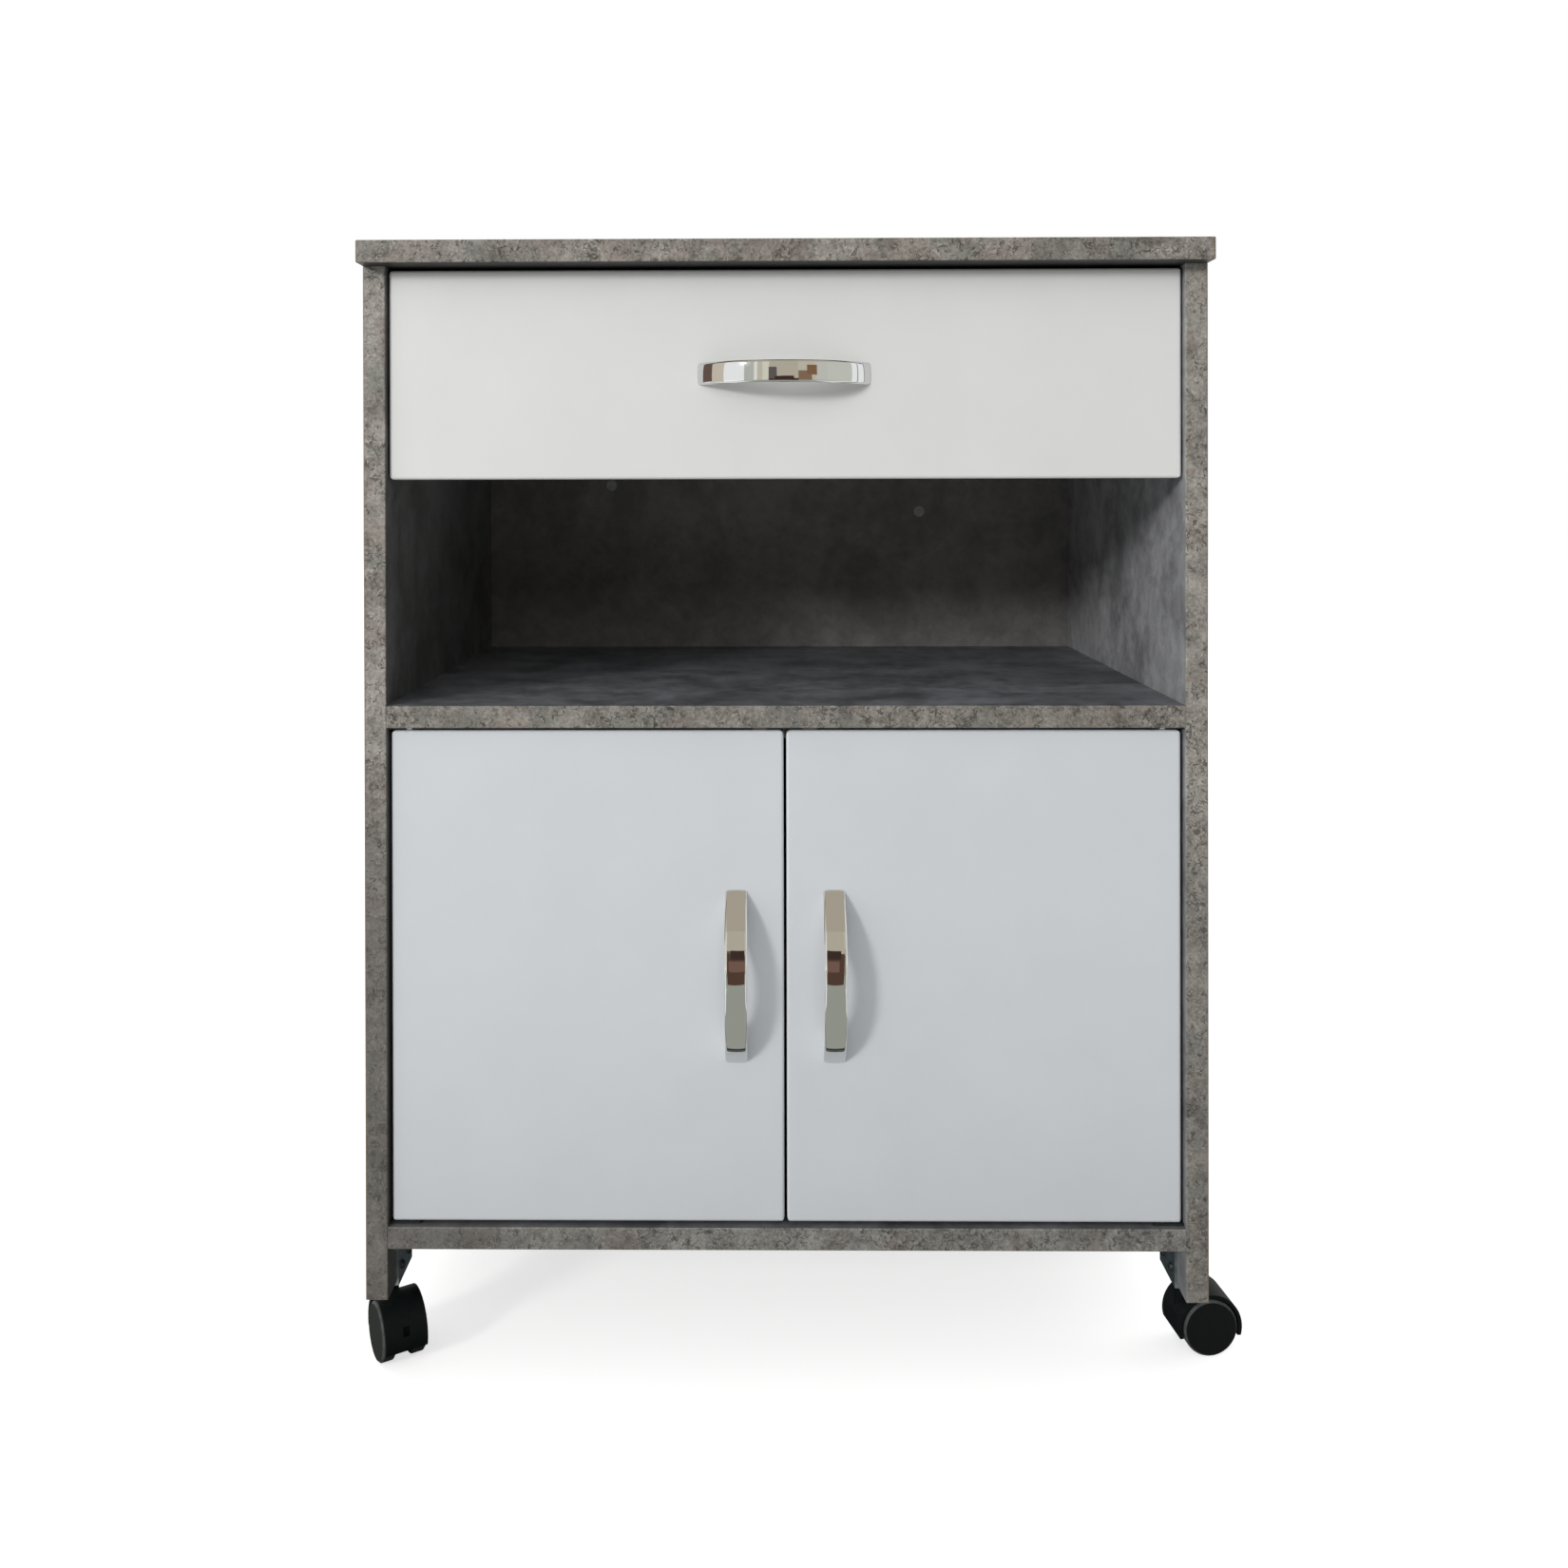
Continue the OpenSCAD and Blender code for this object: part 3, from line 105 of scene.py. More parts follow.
def concrete_melamine(name, streak, face_tones, band_tones=None, underside_shade=None):
    """streak: how far the trowelled clouds of the print run along X, Y and Z, in metres. The
    tones are the print's dark and light colours, on the faces and on the edge band, which the
    faces that look towards -Y carry where band_tones is given. The last argument, if given, is a
    near-black colour painted as shade on the faces that look down."""
    mat, tree, body, place = finish(name, Roughness=0.5, Specular_IOR_Level=0.4)
    facing = put(tree, "SeparateXYZ", {0: put(tree, "TexCoord").outputs["Normal"]}).outputs
    spot = put(tree, "SeparateXYZ", {0: place}).outputs
    long_way = put(tree, "Mapping", {"Vector": place, "Scale": [1 / run for run in streak]})

    # the print's noises: size across in metres, detail, roughness and twist
    print_noise = {}
    for key, vector, size, detail, rough, twist in (
            ("cloud", place, 0.060, 3.0, 0.55, 0.8),
            ("trowel", long_way, 1.0, 2.0, 0.50, 0.6),
            ("tint", place, 0.026, 2.0, 0.50, 0.5),
            ("blotch", place, 0.012, 4.0, 0.60, 0.4),
            ("grain", place, 0.0024, 3.0, 0.65, 0.5),
            ("worm", place, 0.0058, 1.6, 0.50, 1.3),
            ("patch", place, 0.0048, 1.0, 0.50, 0.0),
            ("field", place, 0.034, 1.0, 0.50, 0.0)):
        print_noise[key] = put(tree, "TexNoise", {"Vector": vector, "Scale": 1 / size,
                                                  "Detail": detail, "Roughness": rough,
                                                  "Distortion": twist})

    # faces and band: a weighted sum of noises, read from the dark tone to the light one
    face_parts = (("cloud", 0.42), ("trowel", 0.26), ("blotch", 0.32))
    band_parts = (("cloud", 0.24), ("blotch", 0.34), ("grain", 0.42))
    darkest, lightest = 0.40, 0.60
    shades = []
    for parts, tones in ((face_parts, face_tones), (band_parts, band_tones or face_tones)):
        total = 0.0
        for key, weight in parts:
            total = put(tree, "Math", {0: print_noise[key], 1: weight, 2: total},
                        operation="MULTIPLY_ADD")
        shades.append(put(tree, "ValToRGB", {0: total},
                          ((darkest, tones[0]), (lightest, tones[1]))))
    face, band = shades
    # the band wanders to a warm grey where the tint noise is high, and to a cool one where low
    warm_grey, cool_grey = "#877a73", "#787b76"
    for none_at, full_at, share, code in ((0.51, 0.66, 0.34, warm_grey),
                                          (0.49, 0.36, 0.32, cool_grey)):
        amount = put(tree, "MapRange", {0: print_noise["tint"], 1: none_at, 2: full_at,
                                        4: share}, interpolation_type="SMOOTHSTEP")
        band = put(tree, "Mix", {0: amount, 6: band, 7: code}, data_type="RGBA")
    # the band is on the faces that look to the front; those that look down get painted shade
    edge = 0.0
    if band_tones:
        edge = put(tree, "MapRange", {0: facing["Y"], 1: -0.6, 2: -0.35, 3: 1.0, 4: 0.0})
    if underside_shade:
        under = put(tree, "MapRange", {0: facing["Z"], 1: -0.9, 2: -0.6, 3: 0.95, 4: 0.0})
        face = put(tree, "Mix", {0: under, 6: face, 7: underside_shade}, data_type="RGBA")
    colour = put(tree, "Mix", {0: edge, 6: face, 7: band}, data_type="RGBA")

    # worm-like flecks, 2 to 6 mm long and 1 mm wide: one side of a noise's middle contour line
    # is dark and the other light, and two wider noises keep short stretches of it in groups
    neutral = "#bcbcbc"                          # the grey that an overlay leaves as it is
    fleck = put(tree, "ValToRGB", {0: print_noise["worm"]},
                ((0.39, neutral), (0.61, neutral), (0.430, "#7a7876"), (0.470, "#1e1c1a"),
                 (0.505, "#868482"), (0.535, "#d8d8d8"), (0.570, "#c6c6c6")))
    groups = put(tree, "Math", {0: print_noise["field"], 1: 0.45, 2: print_noise["patch"]},
                 operation="MULTIPLY_ADD")
    kept = put(tree, "MapRange", {0: groups, 1: 0.690, 2: 0.820},
               interpolation_type="SMOOTHSTEP")
    on_face, more_on_band = 0.12, 0.62
    clear = put(tree, "Math", {0: edge, 1: more_on_band, 2: on_face}, operation="MULTIPLY_ADD")
    share = put(tree, "Math", {0: kept, 1: clear}, operation="MULTIPLY")
    colour = put(tree, "Mix", {0: share, 6: colour, 7: fleck}, data_type="RGBA",
                 blend_type="OVERLAY")

    # pits: small round marks in some of the cells of an 11 mm Voronoi pattern
    pit_pitch = 0.011
    on_face, more_on_band = 0.30, 0.25
    cells = put(tree, "TexVoronoi", {"Vector": place, "Scale": 1 / pit_pitch}).outputs
    near = put(tree, "MapRange", {0: cells["Distance"], 1: 0.05, 2: 0.13, 3: 1.0, 4: 0.0})
    chosen = put(tree, "MapRange", {0: put(tree, "SeparateColor", {0: cells["Color"]}),
                                    1: 0.70, 2: 0.74})
    pit = put(tree, "Math", {0: near, 1: chosen}, operation="MULTIPLY")
    clear = put(tree, "Math", {0: edge, 1: more_on_band, 2: on_face}, operation="MULTIPLY_ADD")
    share = put(tree, "Math", {0: pit, 1: clear}, operation="MULTIPLY")
    colour = put(tree, "Mix", {0: share, 6: colour, 7: "#403e3b"}, data_type="RGBA")

    # painted shade: darker towards the foot, most on the left side, gone 0.5 m up
    low = put(tree, "MapRange", {0: spot["Z"], 1: 0.28, 2: 0.50, 3: 0.58, 4: 0.0},
              interpolation_type="SMOOTHSTEP")
    left = put(tree, "MapRange", {0: spot["X"], 1: -0.28, 2: -0.10, 3: 1.0, 4: 0.33},
               interpolation_type="SMOOTHSTEP")
    share = put(tree, "Math", {0: low, 1: left}, operation="MULTIPLY")
    colour = put(tree, "Mix", {0: share, 6: colour, 7: "#4a4744"}, data_type="RGBA")
    # painted shade: the left side's inner face, 283 mm out, is darker and browner
    inner = put(tree, "MapRange", {0: facing["X"], 1: 0.6, 2: 0.9, 3: 0.0, 4: 0.56})
    on_left = put(tree, "MapRange", {0: spot["X"], 1: -0.283, 2: -0.280, 3: 1.0, 4: 0.0})
    share = put(tree, "Math", {0: inner, 1: on_left}, operation="MULTIPLY")
    colour = put(tree, "Mix", {0: share, 6: colour, 7: "#332a22"}, data_type="RGBA")
    # brown core line at the outer corner of the sides' front edges, 1 to 1.5 mm wide
    out = put(tree, "Math", {0: spot["X"]}, operation="ABSOLUTE")
    at_corner = put(tree, "MapRange", {0: out, 1: 0.2986, 2: 0.2993, 3: 0.0, 4: 0.70})
    share = put(tree, "Math", {0: at_corner, 1: edge}, operation="MULTIPLY")
    colour = put(tree, "Mix", {0: share, 6: colour, 7: "#7e6a58"}, data_type="RGBA")
    tree.links.new(colour.outputs[2], body.inputs["Base Color"])

    # relief: the grain and the flecks stand up and the pits are sunk, mostly on the band
    flecks_and_pits = put(tree, "Math", {0: pit, 1: -1.0, 2: kept}, operation="MULTIPLY_ADD")
    relief = put(tree, "Math", {0: print_noise["grain"], 1: 0.8, 2: flecks_and_pits},
                 operation="MULTIPLY_ADD")
    on_face, more_on_band = 0.06, 0.2
    clear = put(tree, "Math", {0: edge, 1: more_on_band, 2: on_face}, operation="MULTIPLY_ADD")
    bump = put(tree, "Bump", {"Height": relief, "Distance": 0.0003, "Strength": clear})
    tree.links.new(bump.outputs[0], body.inputs["Normal"])
    return mat


upright_streak = (0.045, 0.045, 0.13)
level_streak = (0.13, 0.045, 0.045)
# one print in copies whose tones are set apart as painted light and shade: the top's and the
# shelf's faces and bands are darker than the sides' as painted shade, the shelf's and the
# bottom's faces darkest, and the bottom's band is lighter than the other levels' as painted light
wear(concrete_melamine("concrete_melamine_upright", upright_streak,
                       face_tones=("#76777a", "#a8a9ac"), band_tones=("#605c57", "#aaa69e")),
     "left_side_panel", "right_side_panel")
# the top's underside is painted near black: painted shade under its overhang
wear(concrete_melamine("concrete_melamine_top_painted_shade", level_streak,
                       face_tones=("#6b6c6f", "#9b9ca0"), band_tones=("#57534e", "#a29e96"),
                       underside_shade="#141312"),
     "top_panel")
wear(concrete_melamine("concrete_melamine_shelf_painted_shade", level_streak,
                       face_tones=("#4c4e52", "#7c7e84"), band_tones=("#534f4a", "#9b978f")),
     "middle_shelf", "inner_shelf")
wear(concrete_melamine("concrete_melamine_bottom_painted_light_and_shade", level_streak,
                       face_tones=("#424448", "#6c6e73"), band_tones=("#605d59", "#acaaa4")),
     "bottom_panel")

# ---- Back panel -----------------------------------------------------------------------------
# Hardboard, 3 mm, faced on the inside with the same concrete print. It is nailed on from behind,
# and two push-in plugs of moulded plastic close its spare holes.

# the back panel's copy of the print is darker and warmer than the sides': painted shade
wear(concrete_melamine("concrete_paper_hardboard_painted_shade", (0.045, 0.045, 0.15),
                       face_tones=("#6e6d6c", "#8b8988")),
     "back_panel")

# plain grey plastic, half matt, with a fine speckle
mat, tree, body, place = finish("push_in_plug_grey", Roughness=0.45)
speckle = put(tree, "TexNoise", {"Vector": place, "Scale": 1 / 0.0015, "Detail": 2.0})
tone = put(tree, "ValToRGB", {0: speckle}, ((0.3, "#a2a4a5"), (0.7, "#b0b2b3")))
tree.links.new(tone.outputs[0], body.inputs["Base Color"])
wear(mat, "back_panel_plugs")

# ---- Plated and coated steel ----------------------------------------------------------------
# Cam locks and bolts, nails, shelf pins, strike plates, axles, machine screws and the casters'
# angles: punched or turned steel with a bright, slightly blue zinc plate. The board screws are
# dark grey steel with a phosphate coat; the pivot plates' same dark grey is painted shade.

# the plate is a soft mirror, clouded in patches of about 6 mm where it has bloomed
mat, tree, body, place = finish("bright_zinc_plate", Metallic=1.0, Roughness=0.3)
bloom = put(tree, "TexNoise", {"Vector": place, "Scale": 1 / 0.006, "Detail": 3.0})
tone = put(tree, "ValToRGB", {0: bloom}, ((0.35, "#93a0a8"), (0.65, "#b4bec4")))
tree.links.new(tone.outputs[0], body.inputs["Base Color"])
wear(mat, "cam_locks", "cam_bolts", "back_panel_nails", "shelf_pins",
     "left_strike_plate", "right_strike_plate", "caster_brackets",
     "drawer_rail_screws", "drawer_handle_screws", "left_door_screws", "right_door_screws",
     "front_left_axle", "front_right_axle", "rear_left_axle", "rear_right_axle")

# the coat is a crust of fine dark crystals; 0.8 mm is coarser than real, so that it shows
crystal_size = 0.0008
phosphate_and_shade_tones = ((0.3, "#2e3234"), (0.7, "#43484b"))
mat, tree, body, place = finish("grey_phosphate_steel", Metallic=0.6, Roughness=0.55)
crystals = put(tree, "TexNoise", {"Vector": place, "Scale": 1 / crystal_size, "Detail": 2.0})
tone = put(tree, "ValToRGB", {0: crystals}, phosphate_and_shade_tones)
tree.links.new(tone.outputs[0], body.inputs["Base Color"])
wear(mat, "board_screws")

# the pivot plates' dark grey is painted shade, and round each of their two upper pins a bright
# oval of 4.4 by 17.6 mm that reaches the plate's front edge is a painted highlight: the distance
# from the oval's middle, with Y counted a quarter and Z a fiftieth
oval_middle = np.array([0.2688, 0.1705, 0.5])    # mirrored to +X and +Y
counted = np.array([1.0, 0.25, 0.02])
mat, tree, body, place = finish("phosphate_steel_painted_shade_and_highlight", Metallic=0.6, Roughness=0.4)
mirrored = put(tree, "VectorMath", {0: place}, operation="ABSOLUTE")
squeezed = put(tree, "VectorMath", {0: mirrored, 1: tuple(counted)}, operation="MULTIPLY")
away = put(tree, "VectorMath", {0: squeezed, 1: tuple(counted * oval_middle)},
           operation="DISTANCE")
painted_highlight_mask = put(tree, "MapRange", {0: away, 1: 0.0020, 2: 0.0024, 3: 1.0, 4: 0.0})
crystals = put(tree, "TexNoise", {"Vector": place, "Scale": 1 / crystal_size, "Detail": 2.0})
# the coat's tone here is the plates' painted shade, the bright tone their painted highlight
coat = put(tree, "ValToRGB", {0: crystals}, phosphate_and_shade_tones)
highlight_tone = put(tree, "ValToRGB", {0: crystals}, ((0.3, "#d2d8dc"), (0.7, "#e6eaec")))
tone = put(tree, "Mix", {0: painted_highlight_mask, 6: coat, 7: highlight_tone}, data_type="RGBA")
tree.links.new(tone.outputs[2], body.inputs["Base Color"])
wear(mat, "pivot_plates")

# ---- Dowels ---------------------------------------------------------------------------------
# Turned beech dowels, glued into the boards' ends and into the drawer's corners. The end grain's
# pores and the grain along the turned sides both show as fine brown flecks.

mat, tree, body, place = finish("beech_dowel", Roughness=0.6)
pores = put(tree, "TexNoise", {"Vector": place, "Scale": 1 / 0.0012, "Detail": 3.0})
tone = put(tree, "ValToRGB", {0: pores}, ((0.35, "#b98f63"), (0.6, "#d9b98c")))
tree.links.new(tone.outputs[0], body.inputs["Base Color"])
wear(mat, "wood_dowels", "drawer_dowels")

# ---- Roller runners -------------------------------------------------------------------------
# Rails roll-formed from thin steel and powder coated white, with turned nylon rollers. The
# pivot bushes and the magnetic catch's body are moulded in the same nylon.

# powder that has melted to a satin skin: its orange peel, 1.5 mm across, breaks up highlights
mat, tree, body, place = finish("white_powder_coat", Roughness=0.38, Base_Color="#e4e4e0")
peel = put(tree, "TexNoise", {"Vector": place, "Scale": 1 / 0.0015, "Detail": 2.0})
bump = put(tree, "Bump", {"Height": peel, "Strength": 0.15, "Distance": 0.0002})
tree.links.new(bump.outputs[0], body.inputs["Normal"])
wear(mat, "left_cabinet_rail", "right_cabinet_rail", "left_drawer_rail", "right_drawer_rail")

# unfilled nylon is milky: a little light goes in, and the flow in the mould shows as clouds
mat, tree, body, place = finish("natural_nylon", Roughness=0.42, Subsurface_Weight=0.1,
                                Subsurface_Scale=0.002)
flow = put(tree, "TexNoise", {"Vector": place, "Scale": 1 / 0.005, "Detail": 2.0})
tone = put(tree, "ValToRGB", {0: flow}, ((0.3, "#e2e0d6"), (0.7, "#ecebe4")))
tree.links.new(tone.outputs[0], body.inputs["Base Color"])
wear(mat, "left_front_roller", "right_front_roller", "left_rear_roller", "right_rear_roller",
     "left_pivot_bushes", "right_pivot_bushes", "magnetic_catch")

# ---- Drawer box -----------------------------------------------------------------------------
# Sides and back of white melamine board, with a thin hardboard bottom that slides in a groove.
# The plain white paper on all of them is matt, with a faint haze in the resin.

mat, tree, body, place = finish("white_melamine_board", Roughness=0.5)
haze = put(tree, "TexNoise", {"Vector": place, "Scale": 1 / 0.02, "Detail": 3.0})
tone = put(tree, "ValToRGB", {0: haze}, ((0.0, "#dddcd8"), (1.0, "#e8e7e4")))
tree.links.new(tone.outputs[0], body.inputs["Base Color"])
wear(mat, "drawer_left_side", "drawer_right_side", "drawer_back", "drawer_bottom")

# ---- White fronts ---------------------------------------------------------------------------
# Drawer front and doors: fibreboard wrapped in satin white foil, pressed round the small radius
# of every outer edge. The foil keeps a very fine orange peel and soft highlights at the edges.

# one foil in two copies: the doors' is darker and cooler than the drawer front's, as painted
# shade
for name, dark, light, worn_by in (
        ("satin_white_foil", "#dcdddc", "#dfe0df", ["drawer_front"]),
        ("satin_white_foil_painted_shade", "#d2d6da", "#d5d9dd", ["left_door", "right_door"])):
    mat, tree, body, place = finish(name, Roughness=0.42, Specular_IOR_Level=0.35)
    veil = put(tree, "TexNoise", {"Vector": place, "Scale": 1 / 0.05, "Detail": 4.0})
    tone = put(tree, "ValToRGB", {0: veil}, ((0.3, dark), (0.7, light)))
    tree.links.new(tone.outputs[0], body.inputs["Base Color"])
    peel = put(tree, "TexNoise", {"Vector": place, "Scale": 1 / 0.0022, "Detail": 2.0})
    bump = put(tree, "Bump", {"Height": peel, "Strength": 0.08, "Distance": 0.0002})
    tree.links.new(bump.outputs[0], body.inputs["Normal"])
    wear(mat, *worn_by)

# ---- Handles --------------------------------------------------------------------------------
# Three bow handles: zinc die castings, ground, polished and chrome plated. Each is a strap with
# bevelled edges, widest in the middle, on two feet with M4 threads 96 mm apart.

def grid_mesh(name, points, mat):
    """points[i, j] is ring i, point j: quads join each ring to the next, each ring closes on
    itself, and the first and last rings are closed by one flat face each."""
    rings, count = points.shape[:2]
    i, j = np.meshgrid(np.arange(rings - 1), np.arange(count), indexing="ij")
    k = (j + 1) % count
    quads = np.stack([i * count + j, (i + 1) * count + j, (i + 1) * count + k, i * count + k],
                     axis=-1).reshape(-1, 4)
    ends = [list(range(count)), list(range((rings - 1) * count, rings * count))[::-1]]
    mesh = bpy.data.meshes.new(name)
    mesh.from_pydata(points.reshape(-1, 3).tolist(), [], quads.tolist() + ends)
    mesh.polygons.foreach_set("use_smooth", [True] * len(quads) + [False] * len(ends))
    mesh.materials.append(mat)
    mesh.update()
    made = bpy.data.objects.new(name, mesh)
    bpy.context.scene.collection.objects.link(made)
    return made


def bow(length, out, width, thick, foot, bevel, crown, draft, rings=129):
    """Rings of a bow handle with its length along X, its feet on Y = 0 and its bow towards -Y.
    The outer and inner lines are circular arcs, through their feet and their middles; ring s
    joins the point at share s of the outer arc to the point at share s of the inner arc. Each
    ring's outer line is a parabola of height crown across the width, with bevelled corners; its
    sides lean in by draft, the tangent of the casting's draft angle, towards the inner face."""
    def arc(half, rise, share):
        radius = (half ** 2 + rise ** 2) / (2 * rise)
        angle = (2 * share - 1) * np.arcsin(half / radius)
        return np.stack([radius * np.sin(angle), radius - rise - radius * np.cos(angle)], -1)
    share = np.linspace(0, 1, rings)
    outer = arc(length / 2, out, share)
    inner = arc(length / 2 - foot, out - thick, share)
    depth = np.linalg.norm(inner - outer, axis=1)
    half = width / 2
    flat = half - bevel
    near = 0.00012                  # two close points keep each bevel's corners crisp
    most_lean = 0.0022              # what the sides of the deep feet lean in at most
    lean = np.minimum(draft * depth, most_lean)
    ones = np.ones_like(share)
    # half of a ring as (across the width, down from the outer line): the crowned face, the
    # bevel, and a side that ends in an inner corner rounded over about 0.5 mm
    face = [(u * flat, crown * u ** 2 * ones) for u in (0.08, 0.25, 0.42, 0.58, 0.75, 0.9)]
    section = face + [(flat * ones - near, crown * ones),
                      (flat + near, (crown + near) * ones),
                      (half * ones - near, (crown + bevel - near) * ones),
                      (half * ones, (crown + bevel + near) * ones),
                      (half - lean, depth - 0.0005), (half - lean - 0.0003, depth - 0.0001),
                      (half - lean - 0.0006, depth)]
    across = np.stack([a * ones for a, d in section], 1)
    along = np.stack([np.minimum(d, depth) for a, d in section], 1)
    across = np.concatenate([across, -across[:, ::-1]], 1)
    along = np.concatenate([along, along[:, ::-1]], 1)
    way = ((inner - outer) / depth[:, None])[:, None, :]
    line = outer[:, None, :] + way * along[..., None]
    return np.stack([line[..., 0], line[..., 1], across], -1)


# polishing leaves ripples about 18 mm long and too low to see but in what the chrome mirrors
chrome, tree, body, place = finish("polished_chrome", Metallic=1.0, Roughness=0.035,
                                   Base_Color="#dedfdf")
ripple = put(tree, "TexNoise", {"Vector": place, "Scale": 1 / 0.018, "Detail": 1.0})
bump = put(tree, "Bump", {"Height": ripple, "Strength": 0.25, "Distance": 0.0004})
tree.links.new(bump.outputs[0], body.inputs["Normal"])
handle = bow(length=0.124, out=0.028, width=0.0158, thick=0.0045, foot=0.021, bevel=0.0012,
             crown=0.0004, draft=0.16)
for name, upright_bow, rides_on in (("drawer_handle", False, "drawer"),
                                    ("left_door_handle", True, "left_door"),
                                    ("right_door_handle", True, "right_door")):
    low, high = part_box(name)
    middle = np.array([(low.x + high.x) / 2, high.y, (low.z + high.z) / 2])
    points = handle.copy()
    if upright_bow:                              # turned a quarter round Y, so X goes to Z
        points = np.stack([handle[..., 2], handle[..., 1], -handle[..., 0]], -1)
    piece = grid_mesh(name.replace("handle", "bow_handle"), points + middle, chrome)
    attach(piece, rides_on)
    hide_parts(name)

# ---- Casters --------------------------------------------------------------------------------
# Twin-wheel furniture casters moulded in black nylon: a hood with a neck that turns on the stem
# riveted into the steel angle, and two wheels with closed outer faces on one steel axle.

caster_places = ("front_left", "front_right", "rear_left", "rear_right")
grit_size = 0.004                                # patches of dust and wear, in metres
# the moulds are grained, so the black nylon is matt, with hardly a highlight
mat, tree, body, place = finish("black_nylon", Roughness=0.55, Specular_IOR_Level=0.08)
grit = put(tree, "TexNoise", {"Vector": place, "Scale": 1 / grit_size, "Detail": 3.0})
tone = put(tree, "ValToRGB", {0: grit}, ((0.0, "#0e1212"), (1.0, "#1a1e1f")))
tree.links.new(tone.outputs[0], body.inputs["Base Color"])
wear(mat, *(caster + "_hood" for caster in caster_places))

# the wheels' closed faces, which look along the axle, stay black; their rims and treads are
# painted grey as a highlight
for caster in caster_places:
    axle = next(joint["axis"] for joint in frame["joints"]
                if joint["name"].startswith(caster) and "outer" in joint["name"])
    mat, tree, body, place = finish("nylon_painted_rim_highlight_" + caster, Roughness=0.55,
                                    Specular_IOR_Level=0.14)
    along_axle = put(tree, "VectorMath", {0: put(tree, "TexCoord").outputs["Normal"], 1: axle},
                     operation="DOT_PRODUCT").outputs["Value"]
    rim = put(tree, "MapRange", {0: put(tree, "Math", {0: along_axle}, operation="ABSOLUTE"),
                                 1: 0.90, 2: 0.97, 3: 1.0, 4: 0.0})
    grit = put(tree, "TexNoise", {"Vector": place, "Scale": 1 / grit_size, "Detail": 3.0})
    rim_highlight = put(tree, "ValToRGB", {0: grit}, ((0.3, "#404344"), (0.7, "#585b5c")))
    clean = put(tree, "ValToRGB", {0: grit}, ((0.0, "#0a0d0d"), (1.0, "#141819")))
    tone = put(tree, "Mix", {0: rim, 6: clean, 7: rim_highlight}, data_type="RGBA")
    tree.links.new(tone.outputs[2], body.inputs["Base Color"])
    wear(mat, caster + "_inner_wheel", caster + "_outer_wheel")

# ---- Studio ---------------------------------------------------------------------------------
# A pale floor that fades into a white background, one window-like key light from the left and
# front, and an even fill. Soft boxes and dark flags round the stand are cards that only light on
# the object sees, and a plain furnished room is cards that only reflections see.

def card(name, corners, mat):
    """A flat four-cornered panel of the studio, from its corners in order."""
    mesh = bpy.data.meshes.new(name)
    mesh.from_pydata(corners, [], [(0, 1, 2, 3)])
    mesh.materials.append(mat)
    made = bpy.data.objects.new(name, mesh)
    bpy.context.scene.collection.objects.link(made)
    return made


def seen_share(tree):
    """1 where a camera, glossy or transmission ray arrives, and 0 for light on the object."""
    path = put(tree, "LightPath").outputs
    total = put(tree, "Math", {0: path["Is Camera Ray"], 1: path["Is Glossy Ray"]},
                operation="MAXIMUM")
    return put(tree, "Math", {0: total, 1: path["Is Transmission Ray"]}, operation="MAXIMUM")


# the floor is seen nearly white, with the stand's shadow, but throws only a grey floor's light up
floor_mat = bpy.data.materials.new("pale_floor")
floor_mat.use_nodes = True
tree = floor_mat.node_tree
tree.nodes.clear()
bounce = put(tree, "BsdfDiffuse", {"Color": "#5c5e60"})
shade = put(tree, "BsdfDiffuse", {"Color": (0.6, 0.6, 0.6, 1)})
glow = put(tree, "Emission", {"Color": "#ffffff", "Strength": 0.66})
seen = put(tree, "AddShader", {0: shade, 1: glow})
both = put(tree, "MixShader", {0: seen_share(tree), 1: bounce, 2: seen})
put(tree, "OutputMaterial", {"Surface": both})
floor_half = 12
card("floor", [(-floor_half, -floor_half, 0), (floor_half, -floor_half, 0),
               (floor_half, floor_half, 0), (-floor_half, floor_half, 0)], floor_mat)

world = bpy.data.worlds.new("studio")
bpy.context.scene.world = world
world.use_nodes = True
tree = world.node_tree
tree.nodes.clear()
fill = put(tree, "Background", {"Color": "#ffffff", "Strength": 0.80})
white = put(tree, "Background", {"Color": "#ffffff", "Strength": 1.0})
both = put(tree, "MixShader", {0: seen_share(tree), 1: fill, 2: white})
put(tree, "OutputWorld", {"Surface": both})

# the key light: its shadows fall to the right, to the rear and 18 degrees down
aim = np.array([0.0, -0.17, 0.45])
towards = np.array([-0.88, -1.0, 0.446])
towards = towards / np.linalg.norm(towards)
key_distance = 5.6
key_data = bpy.data.lights.new("window_key", "AREA")
key_data.shape = "SQUARE"
key_data.size = 0.85
key_data.energy = 122.0
key_data.color = (1.0, 0.985, 0.965)
key = bpy.data.objects.new("window_key", key_data)
bpy.context.scene.collection.objects.link(key)
side = np.cross([0, 0, 1], towards)
side = side / np.linalg.norm(side)
turn = np.stack([side, np.cross(towards, side), towards], 1)
key.matrix_world = (Matrix.Translation((aim + key_distance * towards).tolist())
                    @ Matrix(turn.tolist()).to_4x4())


def glowing(name, colour, corners, to_diffuse, strength=1.0):
    """A card with an even glow that only diffuse rays see, or only glossy ones."""
    mat = bpy.data.materials.new(name)
    mat.use_nodes = True
    mat.node_tree.nodes.clear()
    glow = put(mat.node_tree, "Emission", {"Color": colour, "Strength": strength})
    put(mat.node_tree, "OutputMaterial", {"Surface": glow})
    made = card(name, corners, mat)
    made.visible_camera = made.visible_shadow = made.visible_transmission = False
    made.visible_diffuse = to_diffuse
    made.visible_glossy = not to_diffuse


